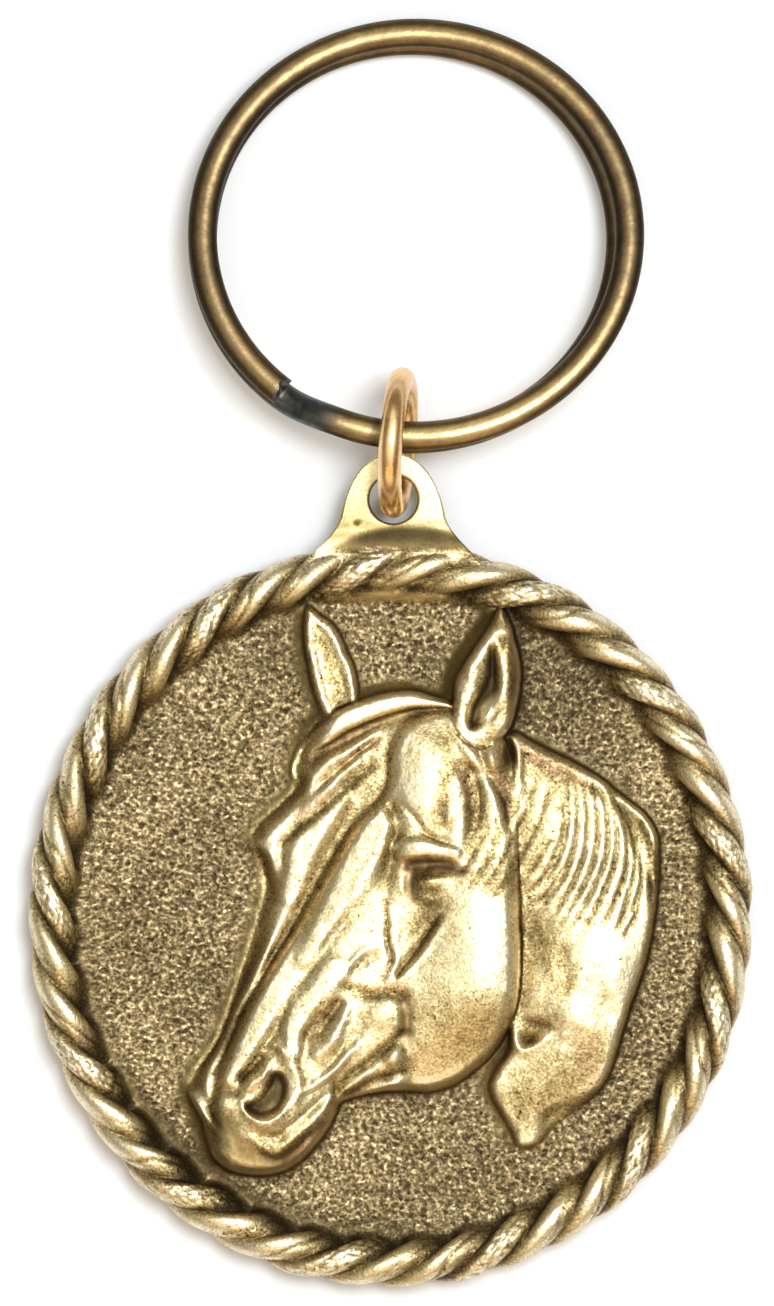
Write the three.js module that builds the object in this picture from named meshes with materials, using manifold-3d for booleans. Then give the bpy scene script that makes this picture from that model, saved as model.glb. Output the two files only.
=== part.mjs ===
// Key ring with a cast brass medallion: an oval disc with a twisted rope border
// and a horse's head in high relief, a lug with a hole, a copper-coloured jump
// ring through the hole, and a double-turn split ring on the jump ring.
// Millimetres. The back of the medallion lies on z = 0, the origin is the middle
// of that back, +Z comes out of the face and +Y points to the rings.
import * as THREE from 'three';
import { mergeVertices } from 'three/addons/utils/BufferGeometryUtils.js';
import Module from 'manifold-3d';

const wasm = await Module();
wasm.setup();

// ---------------------------------------------------------------- dimensions
// Medallion disc and rope border.
const HALF_WIDTH = 19.72;        // outside of the rope along X
const HALF_HEIGHT = 20.27;       // outside of the rope along Y
const ROPE_BREADTH = 2.56;       // rope seen from the front
const ROPE_TOP = 3.6;            // crest of the rope above the back
const ROPE_MID = 1.95;           // height of the rope's middle
const ROPE_TURNS = 13;           // full twists of the rope round the border
const ROPE_STRANDS = 3;
const ROPE_START = 5;            // degrees, where the first strand leaves the rim
const STRAND_GROOVE = 0.36;      // depth of the grooves between the strands
const GROUND = 1.9;              // stippled ground above the back
const FOOT_INSET = 0.75;         // the flat back stops this far inside the rope
const SEGMENTS_PER_STRAND = 4;

// Lug at the top of the medallion.
const LUG_LOW = 1.9;
const LUG_HIGH = 3.0;
const LUG_HOLE = [0.16, 22.62];
const LUG_HOLE_R = 1.31;
const LUG_CHAMFER = 0.45;        // countersink on the back edge of the hole

// Jump ring, a closed ring of round wire standing on its edge.
const JUMP_MEAN_R = 3.46;
const JUMP_WIRE_R = 0.64;
const JUMP_CENTRE = [0.41, 25.68, 4.1];
const JUMP_LEAN = 6.5;           // degrees, its top leans towards -X
const JUMP_TURN = 4.2;           // degrees, seen from above

// Split ring, two turns of flattened spring wire.
const WIRE_BREADTH = 1.58;       // across the turn
const WIRE_THICK = 1.06;         // along the ring's axis
const TURN_GAP = 0.07;           // between the two turns
const UPPER_TURN = { x: 0, y: 0, a: 11.61, b: 11.12 };
const LOWER_TURN = { x: -0.24, y: -0.1, a: 11.38, b: 11.02 };
const CUT_END = 231.5;           // degrees, where the upper turn is cut off
const RAMP_START = 231.8;        // the wire climbs from the lower turn here
const RAMP_END = 249;
const LOWER_END = 252;           // end of the lower turn, under the upper one
const SPLIT_TILT = 8.2;          // degrees, its near edge rests on the lug
const SPLIT_CENTRE = [1.39, 36.8, 1.62];

// Relief of the head, heights above the ground.
const CELL = 0.8;                // size of the facets of the carving
const RELIEF_SINK = 0.8;         // how far the head runs down into the disc

// Outlines, each a smooth closed curve through these points.
const NECK = [[4.3, 8.9], [6.6, 9.9], [8.2, 9.2], [9.9, 8.5], [11.4, 7.3], [13.1, 6.2],
  [14.2, 5], [14.6, 3.7], [14.6, 1.9], [14.3, -0.6], [13.7, -3.2], [12.6, -6.2],
  [11.8, -9], [10.8, -10.1], [9.3, -11.4], [8, -12.6], [6.9, -12.7], [6.2, -11.1],
  [5.4, -9.3], [5.8, -8.1], [4.9, -4.7], [2.7, 0.8], [2.2, 6.2]];
const FACE = [[-3.7, 10.8], [-2.2, 11.6], [0, 12.1], [2.3, 11.9], [4.3, 11], [6, 9.7],
  [6.6, 7.3], [6.8, 3], [6.9, -0.9], [6.9, -3.9], [6.6, -5.7], [5.9, -7.2], [4.8, -8.4],
  [3.5, -9.3], [2, -9.7], [0.4, -9.6], [-1.2, -9.7], [-2.7, -10.2], [-3.1, -11.3],
  [-4, -12.5], [-5, -13.5], [-6.1, -14], [-7.4, -14.2], [-8.8, -13.9], [-9.6, -13.2],
  [-10.1, -12], [-10.4, -10.8], [-10.9, -9.9], [-11, -9.1], [-10.4, -8], [-9.6, -7],
  [-9, -5.8], [-8.3, -3.3], [-7.5, -1.3], [-6.9, 0.6], [-6.7, 1.7], [-7.2, 3.1],
  [-7.8, 4.2], [-7.4, 5.1], [-6.4, 6], [-5.4, 7], [-5.5, 7.8], [-5.2, 8.9], [-4.5, 9.9]];
const FAR_EAR = [[-4.6, 16.6], [-3.7, 16.2], [-3, 15.5], [-2.3, 14.5], [-1.9, 13.2],
  [-1.7, 11.7], [-1.3, 10.5], [-2.8, 9.5], [-3.7, 10.5], [-4.3, 12.2], [-4.6, 13.9],
  [-4.8, 15.4]];
const NEAR_EAR = [[5.7, 16.5], [6.4, 15.6], [7, 14.2], [7, 12.5], [6.7, 10.9], [6.3, 9.7],
  [5.3, 8.9], [4.2, 8.9], [3.5, 9.8], [3.3, 11], [3.6, 12.5], [4, 13.9], [4.7, 15.2]];

// Each part of the head: its outline, the height of its flat middle, the height
// of its edge, how far in the edge is rounded, swellings [x, y, half width, half
// height, rise] and strokes { path, width, rise } along a line.
const CARVING = [
  { outline: FAR_EAR, middle: 1.0, edge: 0.45, round: 0.5, swellings: [],
    strokes: [{ path: [[-3.6, 15.2], [-3, 13], [-2.7, 11]], width: 0.55, rise: -0.45 }] },
  { outline: NECK, middle: 1.9, edge: 0.55, round: 1.6,
    swellings: [[12.1, -2.8, 1.6, 2.8, 0.25], [7.9, -6.3, 1.1, 1.1, -0.6],
      [8.6, 3.5, 1.5, 3, 0.2]],
    strokes: [{ path: [[10.1, 6.8], [9.9, 4.6], [9.3, 2.7], [7.9, 0.5]], width: 0.4, rise: -0.2 },
      { path: [[11.4, 6.6], [11.6, 3.8], [10.9, 1.2], [9.6, -0.8]], width: 0.4, rise: -0.2 }] },
  { outline: FACE, middle: 2.35, edge: 0.7, round: 1.5,
    swellings: [[1.3, 7, 2.2, 3.2, 0.65], [4.3, -1.9, 2.6, 5.2, 0.6], [-7, -11, 2.6, 2.4, 0.35],
      [2.2, 3.7, 1.8, 0.6, 0.35], [2.3, 2.4, 1.9, 0.6, -0.35]],
    strokes: [
      { path: [[-0.7, 4.9], [-2.2, 2.8], [-3.6, 0.2], [-4.9, -2.5], [-6.3, -5.5], [-7.7, -7.5]], width: 1.2, rise: 0.4 },
      { path: [[-6.7, -0.1], [-7.6, -2.5], [-8.4, -5], [-9.2, -7.2]], width: 0.6, rise: -0.3 },
      { path: [[3.1, 11.5], [0.8, 11.7], [-1.3, 11.1], [-3.1, 10.2], [-4.5, 8.9]], width: 0.55, rise: 0.45 },
      { path: [[-0.4, 10.2], [-2.1, 8.6], [-3.7, 7.1], [-5.2, 5.6], [-6.7, 4.5]], width: 0.55, rise: 0.45 },
      { path: [[-1, 8.9], [-2.9, 6.5], [-4.4, 4.5], [-5.4, 2.6]], width: 0.6, rise: 0.35 },
      { path: [[2.7, -0.1], [1.6, -1.6], [0.3, -3.3]], width: 0.5, rise: -0.4 },
      { path: [[-8, -11.7], [-6.2, -12.5], [-4.9, -11.7], [-3.1, -10.2]], width: 0.4, rise: -0.35 },
      { path: [[-5.9, -8.6], [-6, -9.7], [-7, -10.4]], width: 0.62, rise: -0.9 },
      { path: [[-0.6, -4.4], [0.9, -4.9], [0.9, -8.2]], width: 0.45, rise: -0.35 }] },
  { outline: NEAR_EAR, middle: 2.6, edge: 1.5, round: 0.75, swellings: [],
    strokes: [{ path: [[5.5, 14.6], [5.2, 12.4], [5, 10.4]], width: 0.6, rise: -0.9 }] },
];

// ------------------------------------------------------------------- helpers
const radians = THREE.MathUtils.degToRad;

// A closed, welded copy of a geometry with its faces turned outwards.
function weld(source) {
  const bare = source.clone();
  bare.deleteAttribute('normal');
  bare.deleteAttribute('uv');
  const merged = mergeVertices(bare, 1e-4);
  const p = merged.attributes.position;
  const old = merged.index.array;
  const faces = [];
  let volume = 0;
  const a = new THREE.Vector3(), b = new THREE.Vector3(), c = new THREE.Vector3();
  for (let i = 0; i < old.length; i += 3) {
    const [u, v, w] = [old[i], old[i + 1], old[i + 2]];
    if (u === v || v === w || w === u) continue;
    faces.push(u, v, w);
    a.fromBufferAttribute(p, u); b.fromBufferAttribute(p, v); c.fromBufferAttribute(p, w);
    volume += a.dot(b.cross(c)) / 6;
  }
  if (volume < 0) for (let i = 0; i < faces.length; i += 3) [faces[i + 1], faces[i + 2]] = [faces[i + 2], faces[i + 1]];
  merged.setIndex(faces);
  return merged;
}

function solid(geometry) {
  const g = weld(geometry);
  return new wasm.Manifold(new wasm.Mesh({
    numProp: 3,
    vertProperties: Float32Array.from(g.attributes.position.array),
    triVerts: Uint32Array.from(g.index.array),
  }));
}

function geometryOf(manifold) {
  const m = manifold.getMesh();
  const g = new THREE.BufferGeometry();
  g.setAttribute('position', new THREE.BufferAttribute(Float32Array.from(m.vertProperties), 3));
  g.setIndex(new THREE.BufferAttribute(Uint32Array.from(m.triVerts), 1));
  g.computeVertexNormals();
  return g;
}

// Smooth closed outline through a few named points, sampled about every `step`.
function outlinePoints(points, step) {
  const curve = new THREE.CatmullRomCurve3(points.map(([x, y]) => new THREE.Vector3(x, y, 0)), true, 'centripetal');
  const n = Math.round(curve.getLength() / step);
  return curve.getSpacedPoints(n).slice(0, n).map((q) => new THREE.Vector2(q.x, q.y));
}

function distanceToPath(x, y, path, closed) {
  let best = 1e9;
  const n = path.length;
  for (let i = 0; i < (closed ? n : n - 1); i++) {
    const p = path[i], q = path[(i + 1) % n];
    const [px, py, qx, qy] = closed ? [p.x, p.y, q.x, q.y] : [p[0], p[1], q[0], q[1]];
    const dx = qx - px, dy = qy - py;
    const t = Math.max(0, Math.min(1, ((x - px) * dx + (y - py) * dy) / (dx * dx + dy * dy)));
    best = Math.min(best, Math.hypot(x - px - t * dx, y - py - t * dy));
  }
  return best;
}

// ------------------------------------------------------------ the medallion
// Disc and rope in one turned profile: out along the back, round the rope from
// its foot over the crest to the ground, and in to the middle. The rope part of
// the profile is then pushed in along the grooves between the strands, which
// wind round the section ROPE_TURNS times in one trip round the border.
function discWithRope() {
  const halfBreadth = ROPE_BREADTH / 2, halfDepth = ROPE_TOP - ROPE_MID;
  const meanR = HALF_WIDTH - halfBreadth;
  const profile = [new THREE.Vector2(0, 0), new THREE.Vector2(HALF_WIDTH - FOOT_INSET - 0.9, 0)];
  const first = profile.length;
  const angles = [-62, -34, -6, 22, 50, 78, 106, 134, 164];
  for (const deg of angles) {
    profile.push(new THREE.Vector2(meanR + halfBreadth * Math.cos(radians(deg)), ROPE_MID + halfDepth * Math.sin(radians(deg))));
  }
  profile.push(new THREE.Vector2(meanR - halfBreadth - 0.45, GROUND), new THREE.Vector2(0, GROUND));
  const strands = ROPE_TURNS * ROPE_STRANDS;
  const lathe = new THREE.LatheGeometry(profile, strands * SEGMENTS_PER_STRAND);
  lathe.rotateX(Math.PI / 2);
  const p = lathe.attributes.position;
  for (let i = 0; i < p.count; i++) {
    const j = i % profile.length;
    let x = p.getX(i), y = p.getY(i), z = p.getZ(i);
    if (j >= first && j < first + angles.length) {
      const turn = Math.atan2(y, x);
      const section = radians(angles[j - first]);
      const phase = (ROPE_STRANDS / 2) * (section - ROPE_TURNS * (turn - radians(ROPE_START)));
      const groove = Math.pow(1 - Math.abs(Math.cos(phase)), 1.5);
      const fade = j === first ? 0.3 : 1;
      const shrink = 1 - (STRAND_GROOVE * groove * fade) / halfBreadth;
      const r = meanR + (Math.hypot(x, y) - meanR) * shrink;
      z = ROPE_MID + (z - ROPE_MID) * shrink;
      const k = r / Math.hypot(x, y);
      x *= k; y *= k;
    }
    p.setXYZ(i, x, y * (HALF_HEIGHT / HALF_WIDTH), z);
  }
  return solid(lathe);
}

function lug() {
  const [hx, hy] = LUG_HOLE;
  const shape = new THREE.Shape();
  shape.moveTo(-5.4, 18.4);
  shape.bezierCurveTo(-4.2, 19.9, -3.2, 20.4, -2.75, 21.6);
  shape.bezierCurveTo(-2.45, 23.2, -1.7, 25.05, hx, 25.2);
  shape.bezierCurveTo(1.9, 25.05, 2.75, 23.2, 3.0, 21.6);
  shape.bezierCurveTo(3.4, 20.5, 4.4, 19.9, 5.6, 18.4);
  const plate = new THREE.ExtrudeGeometry(shape, { depth: LUG_HIGH - LUG_LOW, bevelEnabled: false, curveSegments: 7 });
  plate.translate(0, 0, LUG_LOW);
  const cutter = new THREE.LatheGeometry([
    new THREE.Vector2(0, -1), new THREE.Vector2(LUG_HOLE_R + LUG_CHAMFER + LUG_LOW + 1, -1),
    new THREE.Vector2(LUG_HOLE_R, LUG_LOW + LUG_CHAMFER), new THREE.Vector2(LUG_HOLE_R, LUG_HIGH + 1),
    new THREE.Vector2(0, LUG_HIGH + 1)], 24);
  cutter.rotateX(Math.PI / 2);
  cutter.translate(hx, hy, 0);
  return { plate: solid(plate), hole: solid(cutter) };
}

// One part of the head: a block whose top is the carved surface, cut to the
// part's outline.
function carvedPart({ outline, middle, edge, round, swellings, strokes }) {
  const border = outlinePoints(outline, 0.75);
  const box = new THREE.Box2().setFromPoints(border).expandByScalar(0.4);
  const size = box.getSize(new THREE.Vector2()), centre = box.getCenter(new THREE.Vector2());
  const block = new THREE.BoxGeometry(size.x, size.y, 1, Math.round(size.x / CELL), Math.round(size.y / CELL), 1);
  block.translate(centre.x, centre.y, 0);
  const p = block.attributes.position;
  for (let i = 0; i < p.count; i++) {
    const x = p.getX(i), y = p.getY(i);
    if (p.getZ(i) < 0) { p.setZ(i, GROUND - RELIEF_SINK); continue; }
    const t = Math.min(1, distanceToPath(x, y, border, true) / round);
    let h = edge + (middle - edge) * Math.sqrt(1 - (1 - t) * (1 - t));
    for (const [cx, cy, rx, ry, rise] of swellings) {
      h += rise * Math.exp(-(((x - cx) / rx) ** 2) - ((y - cy) / ry) ** 2);
    }
    for (const { path, width, rise } of strokes) {
      h += rise * Math.exp(-((distanceToPath(x, y, path, false) / width) ** 2));
    }
    p.setZ(i, GROUND + Math.max(0.3, h));
  }
  const cutter = new THREE.ExtrudeGeometry(new THREE.Shape(border), { depth: 8, bevelEnabled: false });
  cutter.translate(0, 0, GROUND - RELIEF_SINK - 1);
  return solid(block).intersect(solid(cutter));
}

function medallion() {
  const { plate, hole } = lug();
  let body = discWithRope().add(plate).subtract(hole);
  for (const part of CARVING) body = body.add(carvedPart(part));
  return geometryOf(body);
}

// ------------------------------------------------------------ the two rings
function jumpRing() {
  const g = new THREE.TorusGeometry(JUMP_MEAN_R, JUMP_WIRE_R, 10, 40);
  g.rotateY(Math.PI / 2);
  return g;
}

// Centre line of the split ring: most of a turn below, a short climb past the
// cut end, and most of a turn above.
class SplitRingLine extends THREE.Curve {
  getPoint(t, target = new THREE.Vector3()) {
    const start = LOWER_END - 360, end = CUT_END + 360;
    const deg = start + (end - start) * t;
    const up = THREE.MathUtils.smoothstep(deg, RAMP_START, RAMP_END);
    const mix = (key) => LOWER_TURN[key] + (UPPER_TURN[key] - LOWER_TURN[key]) * up;
    const a = radians(deg);
    return target.set(mix('x') + mix('a') * Math.cos(a), mix('y') + mix('b') * Math.sin(a),
      WIRE_THICK / 2 + up * (WIRE_THICK + TURN_GAP));
  }
}

function splitRing() {
  const t = WIRE_THICK / 2, b = WIRE_BREADTH / 2;
  const section = new THREE.Shape([
    [-t + 0.12, -b + 0.22], [-t, -b + 0.5], [-t, b - 0.5], [-t + 0.12, b - 0.22], [0, b],
    [t - 0.12, b - 0.22], [t, b - 0.5], [t, -b + 0.5], [t - 0.12, -b + 0.22], [0, -b],
  ].map(([x, y]) => new THREE.Vector2(x, y)));
  const line = new SplitRingLine();
  line.arcLengthDivisions = 1200;
  return new THREE.ExtrudeGeometry(section, { steps: 108, extrudePath: line, bevelEnabled: false, curveSegments: 1 });
}

// ----------------------------------------------------------------- assembly
function piece(name, geometry, material) {
  const mesh = new THREE.Mesh(geometry, material);
  mesh.name = name;
  return mesh;
}

const keyRing = new THREE.Group();

keyRing.add(piece('medallion', medallion(),
  new THREE.MeshStandardMaterial({ color: 0xb89a5c, roughness: 0.36, metalness: 1 })));

const jumpLean = new THREE.Group();
jumpLean.position.set(...JUMP_CENTRE);
jumpLean.rotation.set(0, 0, radians(-JUMP_TURN));
const jump = piece('jump_ring', weld(jumpRing()),
  new THREE.MeshStandardMaterial({ color: 0xcf9a62, roughness: 0.25, metalness: 1 }));
jump.rotation.set(0, radians(-JUMP_LEAN), 0);
jumpLean.add(jump);
keyRing.add(jumpLean);

const split = piece('split_ring', weld(splitRing()),
  new THREE.MeshStandardMaterial({ color: 0x8f7748, roughness: 0.38, metalness: 1 }));
split.position.set(...SPLIT_CENTRE);
split.rotation.set(radians(-SPLIT_TILT), 0, 0);
keyRing.add(split);

export default keyRing;
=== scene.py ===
# Looks of a key ring: a cast brass medallion with a rope border and a horse's head,
# a rose-gold jump ring and an antiqued split ring, lying face up on a pale floor.
import bpy
import bmesh
import math
import numpy as np
from mathutils import Matrix, Vector


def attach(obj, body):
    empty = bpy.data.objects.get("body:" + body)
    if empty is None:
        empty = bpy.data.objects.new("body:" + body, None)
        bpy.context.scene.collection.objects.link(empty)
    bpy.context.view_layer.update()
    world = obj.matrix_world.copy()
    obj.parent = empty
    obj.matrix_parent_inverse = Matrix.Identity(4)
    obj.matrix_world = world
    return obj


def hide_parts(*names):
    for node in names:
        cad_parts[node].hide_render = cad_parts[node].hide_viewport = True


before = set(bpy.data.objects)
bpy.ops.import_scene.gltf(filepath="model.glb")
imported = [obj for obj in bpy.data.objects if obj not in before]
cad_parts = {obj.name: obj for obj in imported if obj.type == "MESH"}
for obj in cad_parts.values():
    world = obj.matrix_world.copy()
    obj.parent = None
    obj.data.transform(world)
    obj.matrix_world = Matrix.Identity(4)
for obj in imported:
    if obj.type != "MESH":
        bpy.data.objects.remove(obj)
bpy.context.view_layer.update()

MM = 0.001

# ==== relief
# The head and the ground as a height map, heights in millimetres above the ground.
# The drawing's unit is 0.05464 mm, x to the right and y down, and the middle of the
# disc is at (390.5, 914) in it.
UNIT = 0.05464
DISC_X, DISC_Y, DISC_RX, DISC_RY = 390.5, 914.0, 361.0, 371.0
GX0, GX1, GY0, GY1 = 20, 764, 534, 1296
PX, PY = np.meshgrid(np.arange(GX0, GX1 + 1, dtype=float), np.arange(GY0, GY1 + 1, dtype=float))


def spline(pts, closed=False, step=3.0):
    """Smooth curve through the points, sampled about every step."""
    P = np.array(pts, float)
    n = len(P)
    out = []
    for i in range(n if closed else n - 1):
        p1, p2 = P[i], P[(i + 1) % n]
        p0 = P[i - 1] if (closed or i > 0) else 2 * p1 - p2
        p3 = P[(i + 2) % n] if (closed or i + 2 < n) else 2 * p2 - p1
        L = np.hypot(*(p2 - p1)[:2])
        m = max(2, int(np.ceil(L / step)))
        d1 = max(np.hypot(*(p1 - p0)[:2]), 1e-3) ** .5
        d2 = max(L, 1e-3) ** .5
        d3 = max(np.hypot(*(p3 - p2)[:2]), 1e-3) ** .5
        t1 = ((p1 - p0) / d1 - (p2 - p0) / (d1 + d2) + (p2 - p1) / d2) * d2
        t2 = ((p2 - p1) / d2 - (p3 - p1) / (d2 + d3) + (p3 - p2) / d3) * d2
        u = np.arange(m)[:, None] / m
        out.append((2 * u ** 3 - 3 * u ** 2 + 1) * p1 + (u ** 3 - 2 * u ** 2 + u) * t1
                   + (-2 * u ** 3 + 3 * u ** 2) * p2 + (u ** 3 - u ** 2) * t2)
    if not closed:
        out.append(P[-1:])
    return np.vstack(out)


def window(x0, x1, y0, y1):
    i0, i1 = max(0, int(x0 - GX0)), min(PX.shape[1], int(x1 - GX0) + 2)
    j0, j1 = max(0, int(y0 - GY0)), min(PX.shape[0], int(y1 - GY0) + 2)
    return slice(j0, max(j1, j0)), slice(i0, max(i1, i0))


def inside(P):
    """Even-odd test of the grid against a closed outline."""
    c = np.zeros(PX.shape, bool)
    sl = window(P[:, 0].min() - 1, P[:, 0].max() + 1, P[:, 1].min() - 1, P[:, 1].max() + 1)
    x, y = PX[sl], PY[sl]
    cc = np.zeros(x.shape, bool)
    for i in range(len(P)):
        xa, ya = P[i]
        xb, yb = P[(i + 1) % len(P)]
        if ya != yb:
            cc ^= ((ya > y) != (yb > y)) & (x < (xb - xa) * (y - ya) / (yb - ya) + xa)
    c[sl] = cc
    return c


def path_distance(P, reach, closed=False):
    """Distance to a line, how far along it the nearest point is, and the side, near it."""
    D = np.full(PX.shape, 1e6)
    T = np.zeros(PX.shape)
    SD = np.zeros(PX.shape)
    n = len(P)
    m = n if closed else n - 1
    for i in range(m):
        a, b = P[i], P[(i + 1) % n]
        sl = window(min(a[0], b[0]) - reach, max(a[0], b[0]) + reach, min(a[1], b[1]) - reach, max(a[1], b[1]) + reach)
        x, y = PX[sl] - a[0], PY[sl] - a[1]
        dx, dy = b[0] - a[0], b[1] - a[1]
        t = np.clip((x * dx + y * dy) / (dx * dx + dy * dy + 1e-9), 0, 1)
        d = np.hypot(x - t * dx, y - t * dy)
        near = d < D[sl]
        D[sl][near] = d[near]
        T[sl][near] = ((i + t) / m)[near]
        SD[sl][near] = np.sign(x * dy - y * dx)[near]
    return D, T, SD


def depth_inside(pts, reach=60):
    """How far inside a closed outline each point is, negative outside."""
    P = spline(pts, True)
    D = np.minimum(path_distance(P, reach, True)[0], reach)
    return np.where(inside(P), D, -D)


def blur(A, s):
    r = int(np.ceil(3 * s))
    k = np.exp(-0.5 * (np.arange(-r, r + 1) / s) ** 2)
    k /= k.sum()
    B = np.pad(A, r, mode='edge')
    B = sum(k[i] * B[:, i:i + A.shape[1]] for i in range(2 * r + 1))
    return sum(k[i] * B[i:i + A.shape[0], :] for i in range(2 * r + 1))


def lift(d, R):
    t = np.clip(d / R, 0, 1)
    return np.sqrt(1 - (1 - t) ** 2)


def soft(d, R):
    t = np.clip(d / R, 0, 1)
    return t * t * (3 - 2 * t)


def dome(cx, cy, rx, ry, h, ang=0, p=2.0):
    a = np.radians(ang)
    x, y = PX - cx, PY - cy
    u = (x * np.cos(a) + y * np.sin(a)) / rx
    v = (-x * np.sin(a) + y * np.cos(a)) / ry
    return h * np.exp(-(u * u + v * v) ** (p / 2))


def stroke(pts, w, h, kind='g'):
    """Ridge (h > 0) or groove (h < 0) along a path, with w and h numbers or lists along
    it. Kind g is rounded, s has a sharp crest, l and r fall off steeply on one side."""
    w = np.atleast_1d(np.asarray(w, float))
    h = np.atleast_1d(np.asarray(h, float))
    P = spline(pts)
    D, T, SD = path_distance(P, (2.6 if kind == 'g' else 4.0) * w.max())
    near = D < 1e5
    t, d, sd = T[near], D[near], SD[near]
    ww = np.interp(t, np.linspace(0, 1, len(w)), w) if len(w) > 1 else w[0]
    hh = np.interp(t, np.linspace(0, 1, len(h)), h) if len(h) > 1 else h[0]
    if kind == 'g':
        v = hh * np.exp(-(d / ww) ** 2)
    elif kind == 's':
        v = hh * np.exp(-(d / ww))
    else:
        wide = sd > 0 if kind == 'l' else sd < 0
        v = hh * np.where(wide, np.exp(-(d / ww) ** 1.5), np.exp(-(d / 1.6) ** 2))
    out = np.zeros(PX.shape)
    out[near] = v
    return out


def smooth_max(a, b, k):
    h = np.clip(0.5 + 0.5 * (a - b) / k, 0, 1)
    return b * (1 - h) + a * h + k * h * (1 - h)


NECK = [(470,752),(512,732),(527,739),(548,750),(571,761),(600,778),(612,788),(626,799),(645,815),(656,834),(658,856),(657,880),(652,925),(646,955),(640,975),(631,1000),(622,1028),(611,1065),(603,1082),(589,1099),(571,1113),(556,1126),(541,1141),(526,1147),(516,1144),(510,1130),(500,1112),(492,1096),(489,1084),(497,1066),(509,1046),(500,1000),(440,900),(430,800)]
FACE = [(323,716),(337,708),(352,703),(370,697),(391,692),(415,691),(432,696),(452,701),(475,712),(496,730),(508,745),(514,780),(517,860),(519,930),(519,975),(515,1006),(507,1030),(492,1053),(476,1068),(454,1084),(427,1091),(398,1089),(368,1092),(341,1101),(336,1112),(329,1126),(317,1143),(299,1161),(279,1171),(255,1173),(230,1168),(214,1155),(207,1136),(202,1118),(195,1104),(189,1091),(192,1074),(202,1059),(213,1044),(224,1020),(232,996),(239,974),(250,940),(260,905),(264,885),(260,866),(254,852),(248,841),(256,824),(267,814),(280,802),(294,786),(291,770),(296,752),(308,733)]
# the near side, standing above the bridge of the nose along its left edge
MAIN = [(400,722),(440,706),(470,712),(500,736),(514,780),(518,860),(522,930),(522,985),(514,1018),(500,1048),(480,1069),(454,1086),(427,1094),(398,1092),(368,1094),(341,1103),(333,1122),(318,1145),(299,1163),(279,1173),(255,1175),(232,1168),(216,1150),(210,1120),(212,1096),(216,1072),(227,1046),(239,1018),(253,990),(270,960),(289,930),(306,900),(322,870),(340,840),(356,818),(374,800),(386,776),(388,748)]
FAR_EAR = [(308,607),(320,615),(332,624),(341,637),(347,652),(353,664),(357,680),(360,700),(362,722),(340,735),(323,714),(317,700),(311,680),(307,660),(304,640),(304,622)]
NEAR_EAR = [(500,606),(508,620),(514,640),(519,660),(520,682),(516,706),(508,730),(494,744),(476,747),(460,738),(451,722),(453,700),(456,680),(464,664),(476,646),(488,628)]
EAR_HOLLOW = [(491,645),(497,662),(499,684),(496,702),(489,713),(480,724),(472,729),(467,721),(470,706),(477,694),(485,680),(488,662)]
FORELOCK = [(345,707),(362,699),(380,694),(400,690),(422,690),(447,699),(452,707),(430,707),(408,709),(388,714),(366,722),(346,732),(328,743),(312,752),(300,768),(297,784),(290,774),(294,757),(303,742),(315,730),(330,718)]


def carve(A, table, share=0.62):
    for pts, w, h in table:
        A += stroke(pts, np.asarray(w) * 1.08, np.asarray(h) * share)
    return A


def band(pts, w, h):
    """Flat-topped ridge along a path."""
    w, h = np.atleast_1d(np.asarray(w, float)), np.atleast_1d(np.asarray(h, float))
    D, T, _ = path_distance(spline(pts), 2.0 * w.max())
    near = D < 1e5
    t, d = T[near], D[near]
    ww, hh = np.interp(t, np.linspace(0, 1, len(w)), w), np.interp(t, np.linspace(0, 1, len(h)), h)
    out = np.zeros(PX.shape)
    out[near] = 0.8 * hh * (1 - soft(d - 0.5 * ww, 1.0 * ww))
    return out


NOSTRIL = [(279,1069),(286,1076),(288,1090),(284,1102),(275,1111),(262,1114),(252,1111),(246,1103),(254,1097),(263,1089),(268,1080),(273,1071)]
MANE = [
    [(575,785),(577,820),(572,850),(560,880),(545,900),(533,915)],
    [(583,783),(587,815),(584,850),(573,880),(558,905),(547,922)],
    [(592,782),(597,815),(595,850),(585,880),(570,905),(560,924)],
    [(600,785),(606,815),(606,850),(598,875),(585,900),(568,926)],
    [(607,788),(614,815),(616,845),(611,870),(603,890),(590,915),(576,934)],
    [(612,790),(622,820),(627,850),(625,870),(618,890),(607,915),(596,936)],
    [(620,802),(632,830),(639,858),(640,880),(634,902),(618,925)],
    [(560,868),(547,890),(531,906)],[(556,850),(541,878),(526,893)],
    [(628,893),(624,910),(614,929)],[(637,900),(633,916),(622,937)],[(644,862),(650,885),(649,905)],
    [(566,780),(567,815),(561,848),(548,876),(536,896)],[(616,796),(629,830),(634,860),(631,884),(621,908)],
]
NECK_LINES = [
    [(530,805),(515,830),(501,862)],[(540,818),(524,848),(508,880)],[(524,790),(514,812)],[(549,840),(533,866),(520,884)],
    [(468,884),(486,858),(500,830)],[(480,890),(497,866),(510,840)],[(462,870),(478,846),(490,826)],[(490,898),(505,876),(514,856)],
    [(535,780),(528,800)],[(548,792),(540,812)],[(562,800),(562,830),(552,856)],[(520,860),(512,878)],
]


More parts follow.
